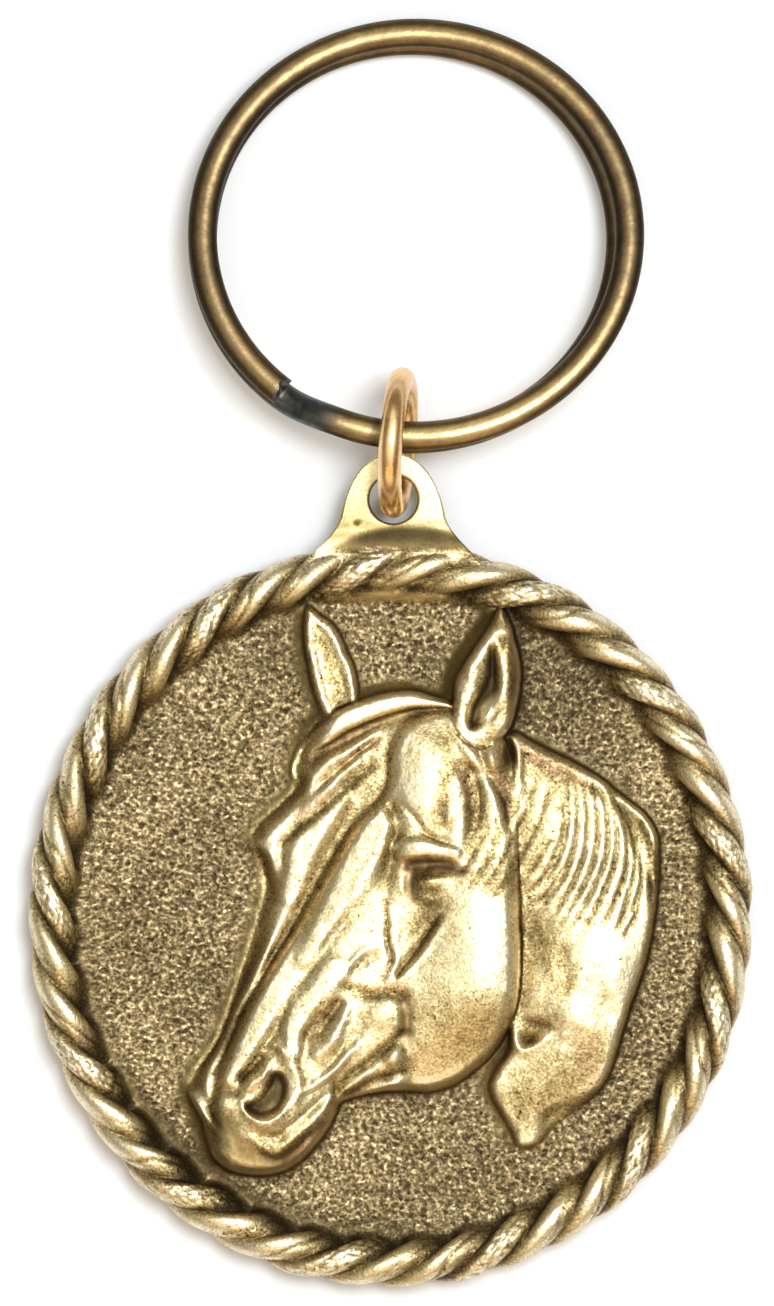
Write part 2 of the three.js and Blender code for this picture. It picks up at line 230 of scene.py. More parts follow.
def neck_form():
    d = depth_inside(NECK)
    A = np.where(d > 0, 0.50 + 0.70 * lift(d, 9) + 0.40 * soft(d, 70), -1)
    A += dome(600, 955, 46, 70, 0.25, 12) + dome(614, 972, 20, 38, 0.30, 10) + dome(552, 830, 36, 55, 0.32)
    A += dome(582, 1018, 34, 16, 0.24, 38)
    A -= dome(530, 935, 22, 42, 0.35, 8)
    A -= dome(528, 1036, 9, 8, 0.42, 0) + dome(536, 1024, 14, 6, 0.16, 20)
    A += dome(530, 985, 16, 22, 0.15)
    # the lower part falls away towards the bottom
    A -= 0.65 * soft(PY - 1030, 120)
    A -= 0.40 * soft(PY - (1100 - 0.36 * (PX - 551)), 16) * soft(PX - 532, 22)
    for m in MANE:
        A += stroke(m, 2.3, [-0.04, -0.12, -0.16, -0.14, -0.03])
    for m in NECK_LINES:
        A += stroke(m, 2.2, [-0.04, -0.11, -0.05])
    # smooth crest outside the mane
    A -= stroke([(560,766),(588,782),(614,800),(636,828),(648,862),(650,900)], [5,6,7,10,9,5], [0.04,0.12,0.22,0.26,0.22,0.05])
    return carve(A, [
        ([(618,797),(636,810),(648,824),(653,840)], 3.2, [0.05,0.25,0.25,0.1]),
        ([(598,781),(610,800),(618,824)], 2.4, [0.1,0.2,0.05]),
        ([(515,1012),(513,1034),(521,1048),(535,1043),(552,1029)], 3.8, [0.08,0.26,0.34,0.30,0.08]),
        ([(505,732),(513,742),(517,756),(517,776),(518,800),(514,830)], [3,3.4,5,6,7,6], [0.15,0.35,0.4,0.38,0.3,0.05]),
        ([(525,890),(527,915),(526,945),(524,985),(517,1012)], [6,7,7,7,5], [-0.02,-0.08,-0.10,-0.14,-0.14]),
        ([(590,998),(606,1012)], 7, [-0.05,-0.1]),
        ([(560,950),(566,975),(562,1000)], 7, [-0.12,-0.16,-0.05]),
        ([(600,985),(606,1000),(600,1010)], 5, [-0.08,-0.16,-0.05]),
    ])


def face_form():
    d = depth_inside(FACE)
    inface = d > 0
    left = (1 - soft(PX - 300, 40)) * (1 - soft(PY - 1078, 24))      # softer edge down the nose
    A = np.where(inface, 0.12 + 0.30 * (1 - left) + (0.98 * soft(d, 20) * left + 0.80 * lift(d, 7 + 5 * soft(PY - 740, 60) + 4 * soft(PY - 850, 40) * soft(PX - 470, 30)) * (1 - left)) + 0.12 * soft(d, 45), -1)
    # behind the ear and the cheek the face starts from the neck's height
    back = soft(PX - 398, 104) * soft(PY - 712, 40) * (1 - soft(PY - 985, 75))
    A = A * (1 - back) + np.maximum(A, 1.80 + 0.06 * lift(d, 10)) * back * inface
    dm = depth_inside(MAIN)
    rise = (0.50 * soft(dm, 13) + 0.42 * soft(dm, 62)) * (1 - back) + (0.54 * soft(dm, 17) + 0.34 * soft(dm, 50)) * back
    A += np.where(inface & (dm > 0), rise * (1 - 0.5 * back * (1 - soft(PY - 840, 60))), 0)
    # bridge of the nose: wide and flat at the brow, thin lower down
    A += band([(336,796),(318,822),(304,848),(297,872),(291,896)], [13,16,16,13,9], [0.34,0.46,0.44,0.34,0.22])
    A += stroke([(288,905),(277,930),(264,958),(251,984),(240,1004),(230,1028),(221,1048),(209,1068),(207,1080),(209,1096)], [7,6,5,4.4,4,3.8,3.8,3.8,3.6,3], [0.15,0.22,0.30,0.34,0.36,0.36,0.36,0.34,0.25,0.08])
    A -= stroke([(346,824),(335,848),(320,874),(304,902),(287,932),(268,962),(251,990),(237,1018),(226,1044),(215,1070)], [10,11,10,8,7,6,6,5.5,5,4], [0.06,0.12,0.15,0.16,0.16,0.16,0.16,0.16,0.12,0.06])
    # facial crest and the two bands that it runs into
    A += band([(378,822),(369,844),(356,868),(344,892),(330,914),(317,936),(305,956)], [17,19,19,17,14,11,9], [0.40,0.42,0.42,0.40,0.36,0.30,0.16])
    A += band([(334,968),(320,988),(305,1006),(294,1026),(295,1050)], [14,15,15,10,6], [0.28,0.36,0.38,0.34,0.2])
    A += band([(313,930),(294,960),(270,1000),(249,1036),(238,1058),(230,1074)], [12,14,17,15,12,8], [0.12,0.22,0.32,0.38,0.40,0.28])
    A -= stroke([(306,958),(295,982),(286,1004),(275,1028),(264,1050),(254,1064),(242,1074)], [4,4,5,6,6,6,5], [0.02,0.04,0.07,0.10,0.14,0.20,0.22])
    A -= stroke([(352,905),(338,926),(326,944)], [6,6,5], [0.10,0.16,0.10])
    # brow point at the left and the hollow under it
    A = carve(A, [
        ([(249,846),(262,846),(270,854),(275,874)], 3.4, [0.25,0.40,0.38,0.1]),
        ([(262,862),(269,880),(272,900)], 5, [-0.15,-0.25,-0.1]),
        ([(282,836),(283,860),(281,884)], 5, [-0.08,-0.24,-0.08]),
    ])
    # forehead and temple
    A += dome(419, 784, 33, 47, 0.50, -6, 2.2) + dome(412, 740, 30, 26, 0.16)
    A += dome(362, 778, 24, 22, 0.20, -40)
    A = carve(A, [
        ([(392,742),(384,760),(385,786),(391,808)], [9,10,9,8], [0.0,-0.02,-0.10,-0.26]),
        ([(378,742),(376,756),(380,770)], 5, [0.04,0.14,0.04]),
        ([(395,748),(392,762),(394,776)], 5, [0.04,0.12,0.04]),
        ([(391,808),(396,826),(393,850),(387,872),(385,896)], [6,6,8,9,7], [-0.34,-0.38,-0.45,-0.42,-0.18]),
        ([(402,803),(415,817),(424,831),(438,840),(456,844)], [2.4,2.8,3,3.4,3], [-0.10,-0.22,-0.26,-0.34,-0.12]),
        ([(448,828),(455,820)], 4, [-0.22,-0.10]),
        ([(462,768),(471,776),(472,800),(471,830),(470,856)], [7,8,7,6.5,6], [-0.14,-0.24,-0.22,-0.20,-0.10]),
        ([(470,768),(482,774)], 5, [-0.35,-0.30]),
        ([(476,782),(479,800),(477,826)], 3, [-0.20,-0.26,-0.10]),
    ])
    A += band([(452,778),(456,800),(456,822),(455,845)], [8,11,11,8], [0.12,0.26,0.26,0.12])
    # eye: white lid, deep brow shadow, round eyeball, lower lid and corner
    A += band([(400,847),(416,847),(436,848),(454,852)], [8,9.5,9,6], [0.30,0.44,0.42,0.22])
    A = carve(A, [
        ([(397,863),(412,864),(428,863),(446,863),(462,869)], [3.5,5.5,6.5,6,4], [-0.12,-0.40,-0.48,-0.42,-0.16]),
        ([(411,866),(410,880),(413,896)], [5.5,6.5,5.5], [-0.24,-0.26,-0.10]),
        ([(402,866),(401,880),(398,898)], 4.5, [0.05,0.10,0.03]),
        ([(418,894),(434,896),(450,888)], 3.4, [0.05,0.20,0.10]),
        ([(412,902),(430,904),(444,896)], 3.4, [-0.05,-0.14,-0.05]),
    ])
    A += dome(431, 879, 14, 8.5, 0.40, -4, 2.4)
    # plane under the eye, the diagonal groove in front of the cheek, the vein
    A -= dome(416, 930, 20, 34, 0.26, 22)
    A = carve(A, [
        ([(439,914),(427,932),(414,951),(397,972)], [2.5,4,4.5,3.5], [-0.12,-0.34,-0.42,-0.30]),
        ([(448,914),(434,934),(420,954),(400,977)], [4,4,4,3.5], [0.06,0.18,0.24,0.20]),
        ([(386,898),(387,920),(387,940),(391,958),(382,979)], 2.0, [-0.08,-0.2,-0.24,-0.26,-0.15]),
        ([(395,920),(396,942),(397,960),(391,978)], 3, [0.05,0.12,0.16,0.08]),
        ([(381,944),(366,948),(354,958),(346,972)], 3, [0.08,0.24,0.24,0.12]),
        ([(374,954),(364,960),(356,968)], 4, [-0.15,-0.24,-0.1]),
    ])
    # cheek
    A += dome(470, 950, 60, 95, 0.38, 8, 2.6) + dome(486, 930, 30, 62, 0.12)
    A -= 0.50 * soft(PY - 985, 105) * soft(PX - 395, 20)
    # ear's foot: light ridge, blob and dark hole behind it
    A = carve(A, [
        ([(452,704),(456,722),(464,742),(476,762),(488,782),(498,802),(502,818)], [6.5,7,7,6.5,6.5,6.5,4], [0.3,0.42,0.45,0.45,0.45,0.35,0.1]),
        ([(478,752),(490,776),(503,800),(509,828)], [4,5,6,4], [-0.15,-0.45,-0.60,-0.2]),
        ([(488,790),(492,812),(490,832)], [5,7,5], [0.05,0.22,0.08]),
        ([(468,886),(486,860),(502,830)], 3.0, [-0.04,-0.14,-0.05]), ([(482,892),(498,868),(510,842)], 3.0, [-0.04,-0.14,-0.05]),
        ([(458,874),(474,850),(488,830)], 3.0, [-0.04,-0.12,-0.04]), ([(494,900),(506,880),(514,858)], 2.6, [-0.04,-0.12,-0.04]),
        ([(442,748),(452,756)], 6, [0.1,0.2]),
    ])
    A += dome(491, 758, 7, 11, 0.45, -10)
    # nostril: lit rims round a deep comma
    A += dome(262, 1116, 58, 46, 0.26, -30)
    A -= dome(300, 1150, 40, 26, 0.22, -40)
    A = carve(A, [
        ([(245,1088),(254,1079),(263,1072),(269,1062)], [4.5,5.5,5,4], [0.25,0.52,0.52,0.2]),
        ([(262,1050),(272,1043),(284,1048),(290,1058),(296,1070),(299,1086),(295,1098)], [3,4,5,5.5,5.5,5,4], [0.1,0.3,0.42,0.38,0.34,0.30,0.2]),
        ([(243,1098),(248,1110),(258,1118),(270,1119),(282,1111),(288,1104)], 3.6, [0.18,0.30,0.34,0.32,0.24,0.10]),
        ([(268,1046),(277,1047)], 3, [-0.2,-0.3]),
        ([(258,1092),(247,1092)], 3.0, [-0.15,-0.05]),
    ])
    pit = depth_inside(NOSTRIL, 20)
    A -= np.where(pit > -3, 0.60 * soft(pit + 3, 9), 0)
    # mouth, lips and chin
    A = carve(A, [
        ([(246,1126),(260,1131),(278,1133),(290,1124)], [3,4,5,3.5], [-0.06,-0.26,-0.42,-0.15]),
        ([(254,1137),(265,1145),(276,1150),(288,1141),(302,1129),(316,1116),(327,1101)], [3,3.6,4.4,5,5,4.5,3.5], [0.10,0.28,0.36,0.40,0.40,0.34,0.12]),
        ([(292,1122),(304,1112),(318,1100),(332,1088)], 3.6, [-0.12,-0.26,-0.26,-0.1]),
        ([(262,1150),(276,1158),(294,1150),(310,1134),(324,1118)], [3,4.5,4.5,4,3], [-0.08,-0.26,-0.28,-0.26,-0.1]),
        ([(300,1152),(312,1140),(324,1126)], 2.8, [0.1,0.2,0.08]),
        ([(193,1090),(199,1101),(206,1113),(216,1126)], 3.4, [0.25,0.40,0.38,0.1]),
        ([(208,1098),(211,1112),(224,1128)], 3.2, [-0.12,-0.24,-0.05]),
        ([(218,1084),(230,1088),(244,1090)], 3.0, [-0.12,-0.26,-0.2]),
        ([(226,1130),(232,1142),(236,1152)], 4, [0.05,0.12,0.04]),
        ([(214,1140),(222,1150),(232,1158)], 4, [0.04,0.16,0.05]),
    ])
    A += dome(226, 1102, 15, 12, 0.22)
    # cheek disc, knot of muscle, lines of the lower jaw
    A += dome(384, 1012, 20, 15, 0.22, -10, 2.4)
    A = carve(A, [
        ([(346,984),(366,992),(388,990),(402,996)], [4,5,5,4], [-0.14,-0.34,-0.34,-0.25]),
        ([(402,994),(406,1012),(406,1032),(404,1048)], [6,6.5,6,5], [-0.24,-0.32,-0.32,-0.16]),
        ([(402,1030),(388,1044),(370,1059),(350,1074),(338,1088)], [5,5.5,5,4.5,4], [-0.30,-0.42,-0.36,-0.30,-0.30]),
        ([(362,1024),(352,1040)], 4, [-0.12,-0.2]),
        ([(358,1042),(346,1054),(334,1068),(318,1080),(303,1090)], [3.4,3.6,3.6,3.4,3], [0.15,0.34,0.40,0.34,0.12]),
        ([(346,1040),(334,1056),(322,1068)], 4, [-0.12,-0.22,-0.1]),
        ([(349,1002),(342,1020),(332,1038),(318,1052)], [4,5,6,4.5], [0.2,0.40,0.42,0.2]),
        ([(340,1000),(330,1014),(320,1032)], [4,4.5,4], [-0.25,-0.44,-0.25]),
        ([(326,996),(316,1016),(308,1040),(306,1056)], [5,6,5,4], [-0.12,-0.28,-0.26,-0.1]),
        ([(336,1078),(336,1090),(335,1102)], 3.2, [-0.25,-0.38,-0.2]),
        ([(378,1064),(364,1072),(352,1082)], 3.2, [0.1,0.24,0.08]),
        ([(404,1070),(386,1074),(366,1082),(348,1091)], [4,4.5,4.5,3.5], [-0.15,-0.42,-0.42,-0.3]),
        ([(402,1080),(386,1084),(364,1092),(343,1100)], 2.8, [0.12,0.42,0.45,0.3]),
    ])
    A += dome(394, 1054, 10, 8, 0.30, -40, 3)
    # forelock: bright top strand, copper groove, second and third strand
    d1 = depth_inside(FORELOCK, 30)
    A += np.where(inface & (d1 > 0), (0.16 + 0.34 * lift(d1, 7)) * soft(PX - 292, 40), 0)
    A = carve(A, [
        ([(314,730),(303,744),(296,757),(292,771),(297,783)], 2.8, [0.15,0.42,0.46,0.42,0.15]),
        ([(434,711),(408,714),(386,722),(362,733),(339,746),(318,757)], [4,5,5.5,6,7,7], [-0.04,-0.20,-0.36,-0.30,-0.28,-0.15]),
        ([(320,750),(310,764),(304,780)], [7,9,6], [-0.2,-0.34,-0.2]),
        ([(384,726),(368,737),(350,749),(330,760),(316,774),(306,790),(290,808),(270,824)], [3,4,6,7,7,6,6,6], [0.10,0.34,0.46,0.50,0.48,0.42,0.42,0.3]),
        ([(366,752),(348,768),(332,782),(316,796),(302,810)], [4,4.5,4.5,4.5,4], [0.12,0.26,0.26,0.24,0.1]),
        ([(378,738),(360,751),(343,766),(327,780)], [2.6,3,3,2.6], [-0.16,-0.28,-0.26,-0.14]),
        ([(372,766),(350,782),(332,798),(314,814),(298,828),(284,842)], [5,5.5,5.5,5.5,5,4], [-0.12,-0.34,-0.42,-0.42,-0.42,-0.2]),
        ([(372,722),(350,731),(328,741)], 2.0, -0.08), ([(352,726),(334,734),(316,744)], 2.0, -0.10),
        ([(330,726),(318,736)], 2.0, -0.08), ([(338,736),(320,746),(308,757)], 2.0, 0.08),
    ])
    return A, d, inface, back


def ear_form():
    d = depth_inside(NEAR_EAR, 30)
    A = np.where(d > 0, 1.35 + 0.92 * lift(d, 9), -1)
    hollow = depth_inside(EAR_HOLLOW, 30)
    A -= np.where(hollow > -4, 0.50 * soft(hollow + 4, 11), 0)
    A -= 0.12 * soft(PX - 458, 30)
    A += stroke([(485,644),(474,660),(468,680),(463,702)], [6,9,9,6], [0.04,0.08,0.08,0.02])
    A -= stroke([(490,652),(485,670),(480,690)], [6,8,8], [0.06,0.16,0.12])
    A -= stroke([(458,664),(463,676),(460,690)], [6,6,6], [0.1,0.2,0.1])
    A = carve(A, [
        ([(500,690),(493,699),(487,708),(481,719)], [4,5,5.5,4], [0.15,0.36,0.42,0.25]),
        ([(499,705),(493,713),(487,721)], 3.0, [-0.12,-0.30,-0.15]),
        ([(494,640),(500,658),(503,682),(501,704),(494,722),(481,737)], [4.5,6,6.5,6.5,6,5], [0.03,0.08,0.11,0.12,0.16,0.14]),
    ])
    A -= 0.5 * soft(PX - 506, 14) + 0.7 * soft(634 - PY, 26)
    return A, d


def head():
    """Height of the horse's head above the ground, 0 outside it."""
    d = depth_inside(FAR_EAR, 30)
    far = np.where(d > 0, 0.30 + 0.62 * lift(d, 9), -1)
    far -= 0.20 * soft(d - 5, 9)
    far += dome(312, 646, 3, 3, -0.15)
    neck = neck_form()
    face, d, inface, back = face_form()
    near, dn = ear_form()
    H = np.maximum(far, 0)
    H = np.where(neck > 0, np.maximum(H, neck), H)
    under = np.minimum(H, 1.85) - 1.5 * soft(d, 12) * (1 - soft(back, 0.6))
    H = np.where(inface, np.maximum(smooth_max(face, under, 0.10), 0.05), H)
    H = np.where(dn > 0, np.maximum(near, np.minimum(H, near + 0.3)), H)
    H = H - dome(508, 750, 6.5, 14, 0.65, -4, 2.4) * (H > 0.3)
    return np.maximum(H, 0)


def shifted(A, dx, dy):
    """The map moved so that (x, y) shows what was at (x + dx, y + dy)."""
    return np.roll(np.roll(A, -dx, 1), -dy, 0)


# Places where the patina is darker (or rubbed off, below zero), and places where shade and highlights are painted into
# the colour: positive strokes under the eyelid, over bright edges, on the muzzle and lips and on the temple's right are
# painted shade, and negative strokes on the temple, the cheek and the neck are painted highlights. Columns: path,
# width, amount.
PATINA_AND_PAINTED_LIGHT_STROKES = [
    # painted shadow under the upper eyelid, over its patina
    ([(397,864),(430,863),(462,868)], [4.5,5.5,4], [0.15,0.25,0.25]),
    ([(411,894),(411,874),(424,874),(439,873)], [5,5,4,3], [0.12,0.16,0.30,0.2]),
    ([(401,868),(399,896)], 4, 0.16),
    ([(416,888),(436,896),(430,916)], [12,16,12], 0.14),
    ([(600,790),(630,812),(650,846),(652,884)], [7,10,9,6], 0.22),
    ([(526,752),(548,764),(572,776),(592,788)], [9,15,13,8], 0.36),
    ([(430,990),(450,1010),(500,1000)], [16,22,12], 0.08),
    ([(519,850),(521,900),(522,950),(518,1005)], 5, -0.20),
    ([(504,640),(510,684),(501,716),(486,735)], [7,7,7,6], 0.32),
    ([(470,656),(462,690),(460,712)], [6,7,6], 0.14),
        # painted shade on the temple's right side
        ([(442,748),(446,790),(436,824)], [9,10,9], 0.10),
    # painted highlight on the temple
    ([(404,776),(410,796)], 10, -0.10),
    ([(436,1036),(476,1020)], [26,26], 0.06),
    ([(320,640),(333,672),(340,704)], [4,6,6], 0.08),
    ([(450,868),(470,880),(490,884)], [10,14,12], 0.12),
    ([(322,640),(334,670),(342,700)], [5,8,8], 0.20),
    ([(304,622),(308,650),(314,680),(322,704)], 4, 0.18),
    ([(322,626),(342,656),(350,690)], 4, 0.16),
    ([(418,700),(440,706)], [6,8], 0.12),
    # painted light that lifts the shade along the temple's left edge
    ([(398,722),(397,746),(396,776)], [9,9,7], -0.14),
    ([(392,815),(390,845),(386,880),(383,905)], [5,9,8,4], [0.12,0.22,0.22,0.12]),
    ([(386,900),(387,930),(391,958),(382,979)], 2.2, 0.25),
    ([(438,914),(426,932),(412,951),(398,971)], [3,4,4,3], 0.22),
    ([(420,892),(424,912),(408,936)], [16,18,12], 0.16),
    ([(300,1010),(309,1030)], 6, 0.0),
    ([(332,1000),(322,1016),(314,1036)], [6,7,5], 0.3),
    ([(350,985),(376,992),(398,992),(405,1010)], [6,6,6,5], 0.20),
    ([(405,1015),(406,1046)], 5, 0.1),
    ([(402,1030),(388,1044),(370,1059),(350,1074),(338,1090)], 5, 0.3),
    ([(404,1068),(386,1074),(364,1082),(346,1090)], 5, 0.4),
    ([(346,806),(338,836),(323,866),(305,900),(288,930),(269,960),(252,990),(238,1018),(226,1046)], [9,11,10,8,7,6.5,6,6,5], [0.14,0.16,0.18,0.22,0.25,0.26,0.25,0.22,0.18]),
    ([(280,940),(262,968),(244,998),(230,1028),(216,1060)], [4,4,4,4,4], -0.10),
    ([(268,940),(250,968),(232,1000),(220,1030),(204,1064)], [6,6,6,6,5], 0.16),
    ([(370,1008),(388,1014)], 14, 0.15),
    ([(418,876),(434,876),(446,874)], 4, 0.3),
    ([(474,812),(490,850),(498,884)], [14,20,16], 0.22),
    ([(372,756),(362,776),(372,796)], [16,18,12], 0.13),
    # painted shade on the temple's right side
    ([(446,742),(450,780),(444,812)], [10,14,10], 0.12),
    ([(418,728),(432,742)], 12, 0.10),
    ([(528,762),(556,782),(544,820),(530,850)], [14,20,20,16], 0.13),
    ([(528,1102),(560,1080),(598,1050)], [28,32,22], 0.22),
    ([(470,1060),(500,1030)], [26,16], 0.08),
    # painted shade that dims the muzzle's highlight
    ([(222,1116),(240,1144),(266,1158),(296,1150),(322,1122)], [18,22,20,16,10], 0.30),
    ([(212,1100),(216,1130)], [12,14], 0.10),
    ([(268,1040),(260,1058),(243,1075)], [5,6,6], [0.04,0.12,0.32]),
    ([(279,1078),(278,1092),(268,1101),(257,1105)], [5,7,7,5], [0.3,0.46,0.46,0.3]),
    ([(274,1080),(270,1092),(260,1102)], [5,7,6], 0.22),
    # painted shade that dims the highlight on the lips
    ([(254,1137),(276,1150),(302,1129),(327,1101)], [4,5,5,4], 0.22),
    ([(246,1100),(250,1112),(262,1119),(276,1117),(286,1106)], 3.4, 0.26),
    ([(300,1060),(303,1084),(298,1102)], 4, 0.16),
    # painted shade over the bright right edge of the neck
    ([(640,822),(651,850),(654,870),(651,905),(645,945),(637,985),(628,1010)], 5, 0.38),
    ([(420,711),(396,714),(370,724),(340,742),(312,760)], [5,6,6,8,9], 0.20),
    ([(372,768),(344,792),(312,818),(292,836)], [6,6,6,6], 0.25),
    ([(490,656),(490,678),(482,696),(474,710),(472,724)], [4,6,7,6,5], [0.3,0.42,0.42,0.40,0.36]),
    ([(490,650),(486,668),(480,688),(476,706)], [5,7,8,6], [0.12,0.26,0.26,0.16]),
    ([(470,664),(463,684),(460,704)], [5,6,6], 0.10),
    ([(507,640),(511,680),(506,712)], 5, 0.26),
    ([(501,692),(492,700),(485,709),(480,720)], [3.5,4.5,4.5,3], [-0.1,-0.42,-0.42,-0.2]),
    ([(514,640),(516,680),(510,718)], 5, 0.1),
    ([(497,610),(501,640)], [9,10], 0.26),
    ([(508,740),(509,760)], 5, 0.3),
    ([(499,776),(504,800),(507,818)], [6,7,4], 0.2),
    ([(500,770),(508,800)], [8,5], 0.2),
    ([(468,778),(470,806),(469,850)], [8,7,5], 0.14),
    ([(453,782),(457,810),(457,844)], [5,6,5], -0.14),
    # painted shade on the temple's right side
    ([(436,790),(440,820)], [8,8], 0.10),
    ([(505,770),(516,800),(522,850),(520,890)], [8,16,18,12], 0.14),
    ([(530,925),(550,950),(562,985)], [16,20,14], 0.26),
    ([(526,1020),(540,1020),(554,1028)], [4,5,4], 0.22),
    ([(525,1036),(532,1040)], 4, 0.25),
    ([(528,880),(530,940),(527,1000)], 9, 0.06),
    ([(530,1020),(552,1016)], 8, 0.15),
    # painted highlight on the cheek
    ([(478,950),(484,925),(480,905)], [18,24,16], -0.16),
    # painted highlight on the neck
    ([(606,955),(624,982)], [22,20], -0.14),
    # painted highlight on the temple
    ([(400,780),(420,796)], 18, -0.15),
]
# Reddish places: partly reddish patina in grooves, partly painted warm reflection on surfaces that face down, under the
# eyelid, on the muzzle, chin and jaw and on the lower neck.
COPPER_AND_WARM_REFLECTION = [
    ([(396,864),(430,862),(462,868)], [5,6,4], 1.0),
    ([(408,870),(410,896)], 4, 0.7),
    ([(410,709),(384,716),(358,729),(334,744),(312,764)], [4,5,5,5,5], 0.65),
    ([(330,784),(312,802),(294,818)], [5,6,5], 0.8),
    ([(378,738),(360,751),(345,764)], 3, 0.7),
    ([(250,1086),(262,1076),(274,1062)], 5, 0.8),
    ([(252,1122),(268,1127),(282,1120)], [4,6,4], 0.9),
    ([(284,1160),(300,1148),(318,1126)], [6,7,4], 0.9),
    ([(300,1066),(296,1096)], 4, 0.5),
    ([(402,980),(408,1006),(406,1040)], [5,6,5], 0.5),
    ([(340,1000),(322,1022)], 5, 0.5),
    ([(528,1016),(556,1026),(580,1052),(596,1078)], [5,6,9,8], 0.6),
    ([(514,880),(518,940),(517,1000)], 4, 0.35),
    ([(498,776),(508,812)], 8, 0.7),
    ([(462,772),(468,820)], 8, 0.5),
    ([(516,640),(518,716)], 4, 0.7),
    ([(524,750),(552,764),(584,780)], [8,13,9], 0.7),
        ([(470,1078),(430,1088),(390,1086)], 7, 0.6),
    ([(204,1140),(232,1166),(276,1170)], 7, 0.5),
]
# Smooth places, free of the casting's grain.
SMOOTH = [
    ([(279,1074),(279,1092),(268,1104),(254,1106)], [6,9,9,7]),
    ([(490,656),(490,680),(482,700),(474,716)], [5,7,7,6]),
    ([(398,864),(430,864),(460,868)], [5,7,5]),
    ([(410,872),(410,896)], 5),
    ([(226,1124),(244,1150),(268,1162),(296,1152)], [14,14,12,10]),
    ([(400,1084),(440,1084),(474,1070)], [7,9,9]),
    ([(410,711),(384,718),(358,731),(334,746)], 5),
    ([(508,742),(509,760)], 7),
    ([(404,1000),(407,1040)], 6),
    ([(516,640),(518,700)], 5),
]
# Broad differences of tone in the stippled ground.
GROUND_TONES = [(570, 700, 70, 55, 0.14), (600, 640, 60, 40, 0.08), (230, 1010, 30, 70, 0.08), (690, 930, 40, 120, -0.02), (405, 650, 75, 45, 0.05)]


def patina_light_and_calm_maps():
    T = np.zeros(PX.shape)
    for pts, w, amount in PATINA_AND_PAINTED_LIGHT_STROKES:
        T += stroke(pts, w, amount)
    for pts in MANE:
        T += stroke(pts, 1.7, [0.08, 0.22, 0.26, 0.22, 0.04])
    for pts in NECK_LINES:
        T += stroke(pts, 1.7, 0.2)
    C = np.zeros(PX.shape)
    for pts, w, amount in COPPER_AND_WARM_REFLECTION:
        C = np.maximum(C, stroke(pts, w, amount))
    Q = np.zeros(PX.shape)
    for pts, w in SMOOTH:
        Q = np.maximum(Q, stroke(pts, w, 0.9))
    G = np.zeros(PX.shape)
    for cx, cy, rx, ry, amount in GROUND_TONES:
        G += dome(cx, cy, rx, ry, amount)
    return T, G, C, Q


def worn_side(turn):
    """How far a place round the rope is in its worn lower left part."""
    return np.exp(-((turn + 2.28) / 0.62) ** 2)


def relief():
    """Height of the whole front inside the rope, how far it is stippled ground or head,
    and the height without the grain."""
    H = head()
    solid = H > 0.02
    side = blur(shifted(H, 7, 4), 6.0)
    close = blur(H, 2.6)
    H = np.where(solid, H, np.clip(np.maximum(0.42 * side ** 1.3, 0.35 * close), 0, 0.9))
    fillet = (1 - soft(np.abs(PY - 574) - 6, 26)) * (1 - soft(np.abs(PX - 412) - 45, 70))
    H = np.where(solid, H, np.maximum(H, 1.1 * fillet))
    H = blur(H, 0.95)
    rng = np.random.default_rng(3)
    # a smooth dark trough inside the rope at the lower left
    out = np.hypot((PX - DISC_X) * UNIT, (DISC_Y - PY) * UNIT / STRETCH)
    trough = np.clip((out - 16.35) / 0.4, 0, 1) * worn_side(np.arctan2(DISC_Y - PY, PX - DISC_X))
    smooth_part = np.clip(2.4 * side + 2.0 * close + 4.0 * fillet + 0.8 * trough, 0, 1) * ~solid + 1.0 * solid
    ground = 1 - np.clip(blur(smooth_part, 1.5), 0, 1)
    plain = H
    n = blur(rng.standard_normal(H.shape), 0.9)
    n = n + 0.6 * (shifted(n, 1, 0) + shifted(n, -1, 0))
    n /= n.std()
    low = blur(rng.standard_normal(H.shape), 9.0)
    low /= low.std()
    H = H + (0.030 * n + 0.012 * low) * ground
    cast = blur(rng.standard_normal(H.shape), 1.2)
    cast /= cast.std()
    H = H + 0.010 * cast * (1 - ground)
    return H, ground, blur(solid * 1.0, 1.0), plain
# ==== meshes


HALF_WIDTH, HALF_HEIGHT = 19.72, 20.27
ROPE_BREADTH, ROPE_TOP, ROPE_MID = 2.56, 3.6, 1.95
ROPE_TURNS, ROPE_START = 13, math.radians(5)
GROUND = 1.9
GROOVE = 0.28
MEAN_R = HALF_WIDTH - ROPE_BREADTH / 2
STRETCH = HALF_HEIGHT / HALF_WIDTH

H, GROUND_MASK, SOLID, PLAIN = relief()
PATINA_AND_PAINTED_LIGHT_MAP, GROUND_TONE, COPPER_AND_WARM_REFLECTION_MAP, CALM = patina_light_and_calm_maps()
HOLLOW = np.clip((blur(H, 3.0) - H) * 2.8, -1, 1)
FOOT = np.clip((blur(PLAIN, 3.0) - PLAIN) * 2.8, -1, 1)
HOLLOW_WIDE = np.clip((blur(H, 9.0) - H) * 1.6, -1, 1)
SLOPE = np.hypot(*np.gradient(blur(H, 1.0), UNIT))


def at(A, x, y):
    """Value of a map at points given in millimetres."""
    fx = np.clip(x / UNIT + DISC_X - GX0, 0, A.shape[1] - 1.001)
    fy = np.clip(DISC_Y - y / UNIT - GY0, 0, A.shape[0] - 1.001)
    i, j = fx.astype(int), fy.astype(int)
    u, v = fx - i, fy - j
    return A[j, i] * (1 - u) * (1 - v) + A[j, i + 1] * u * (1 - v) + A[j + 1, i] * (1 - u) * v + A[j + 1, i + 1] * u * v


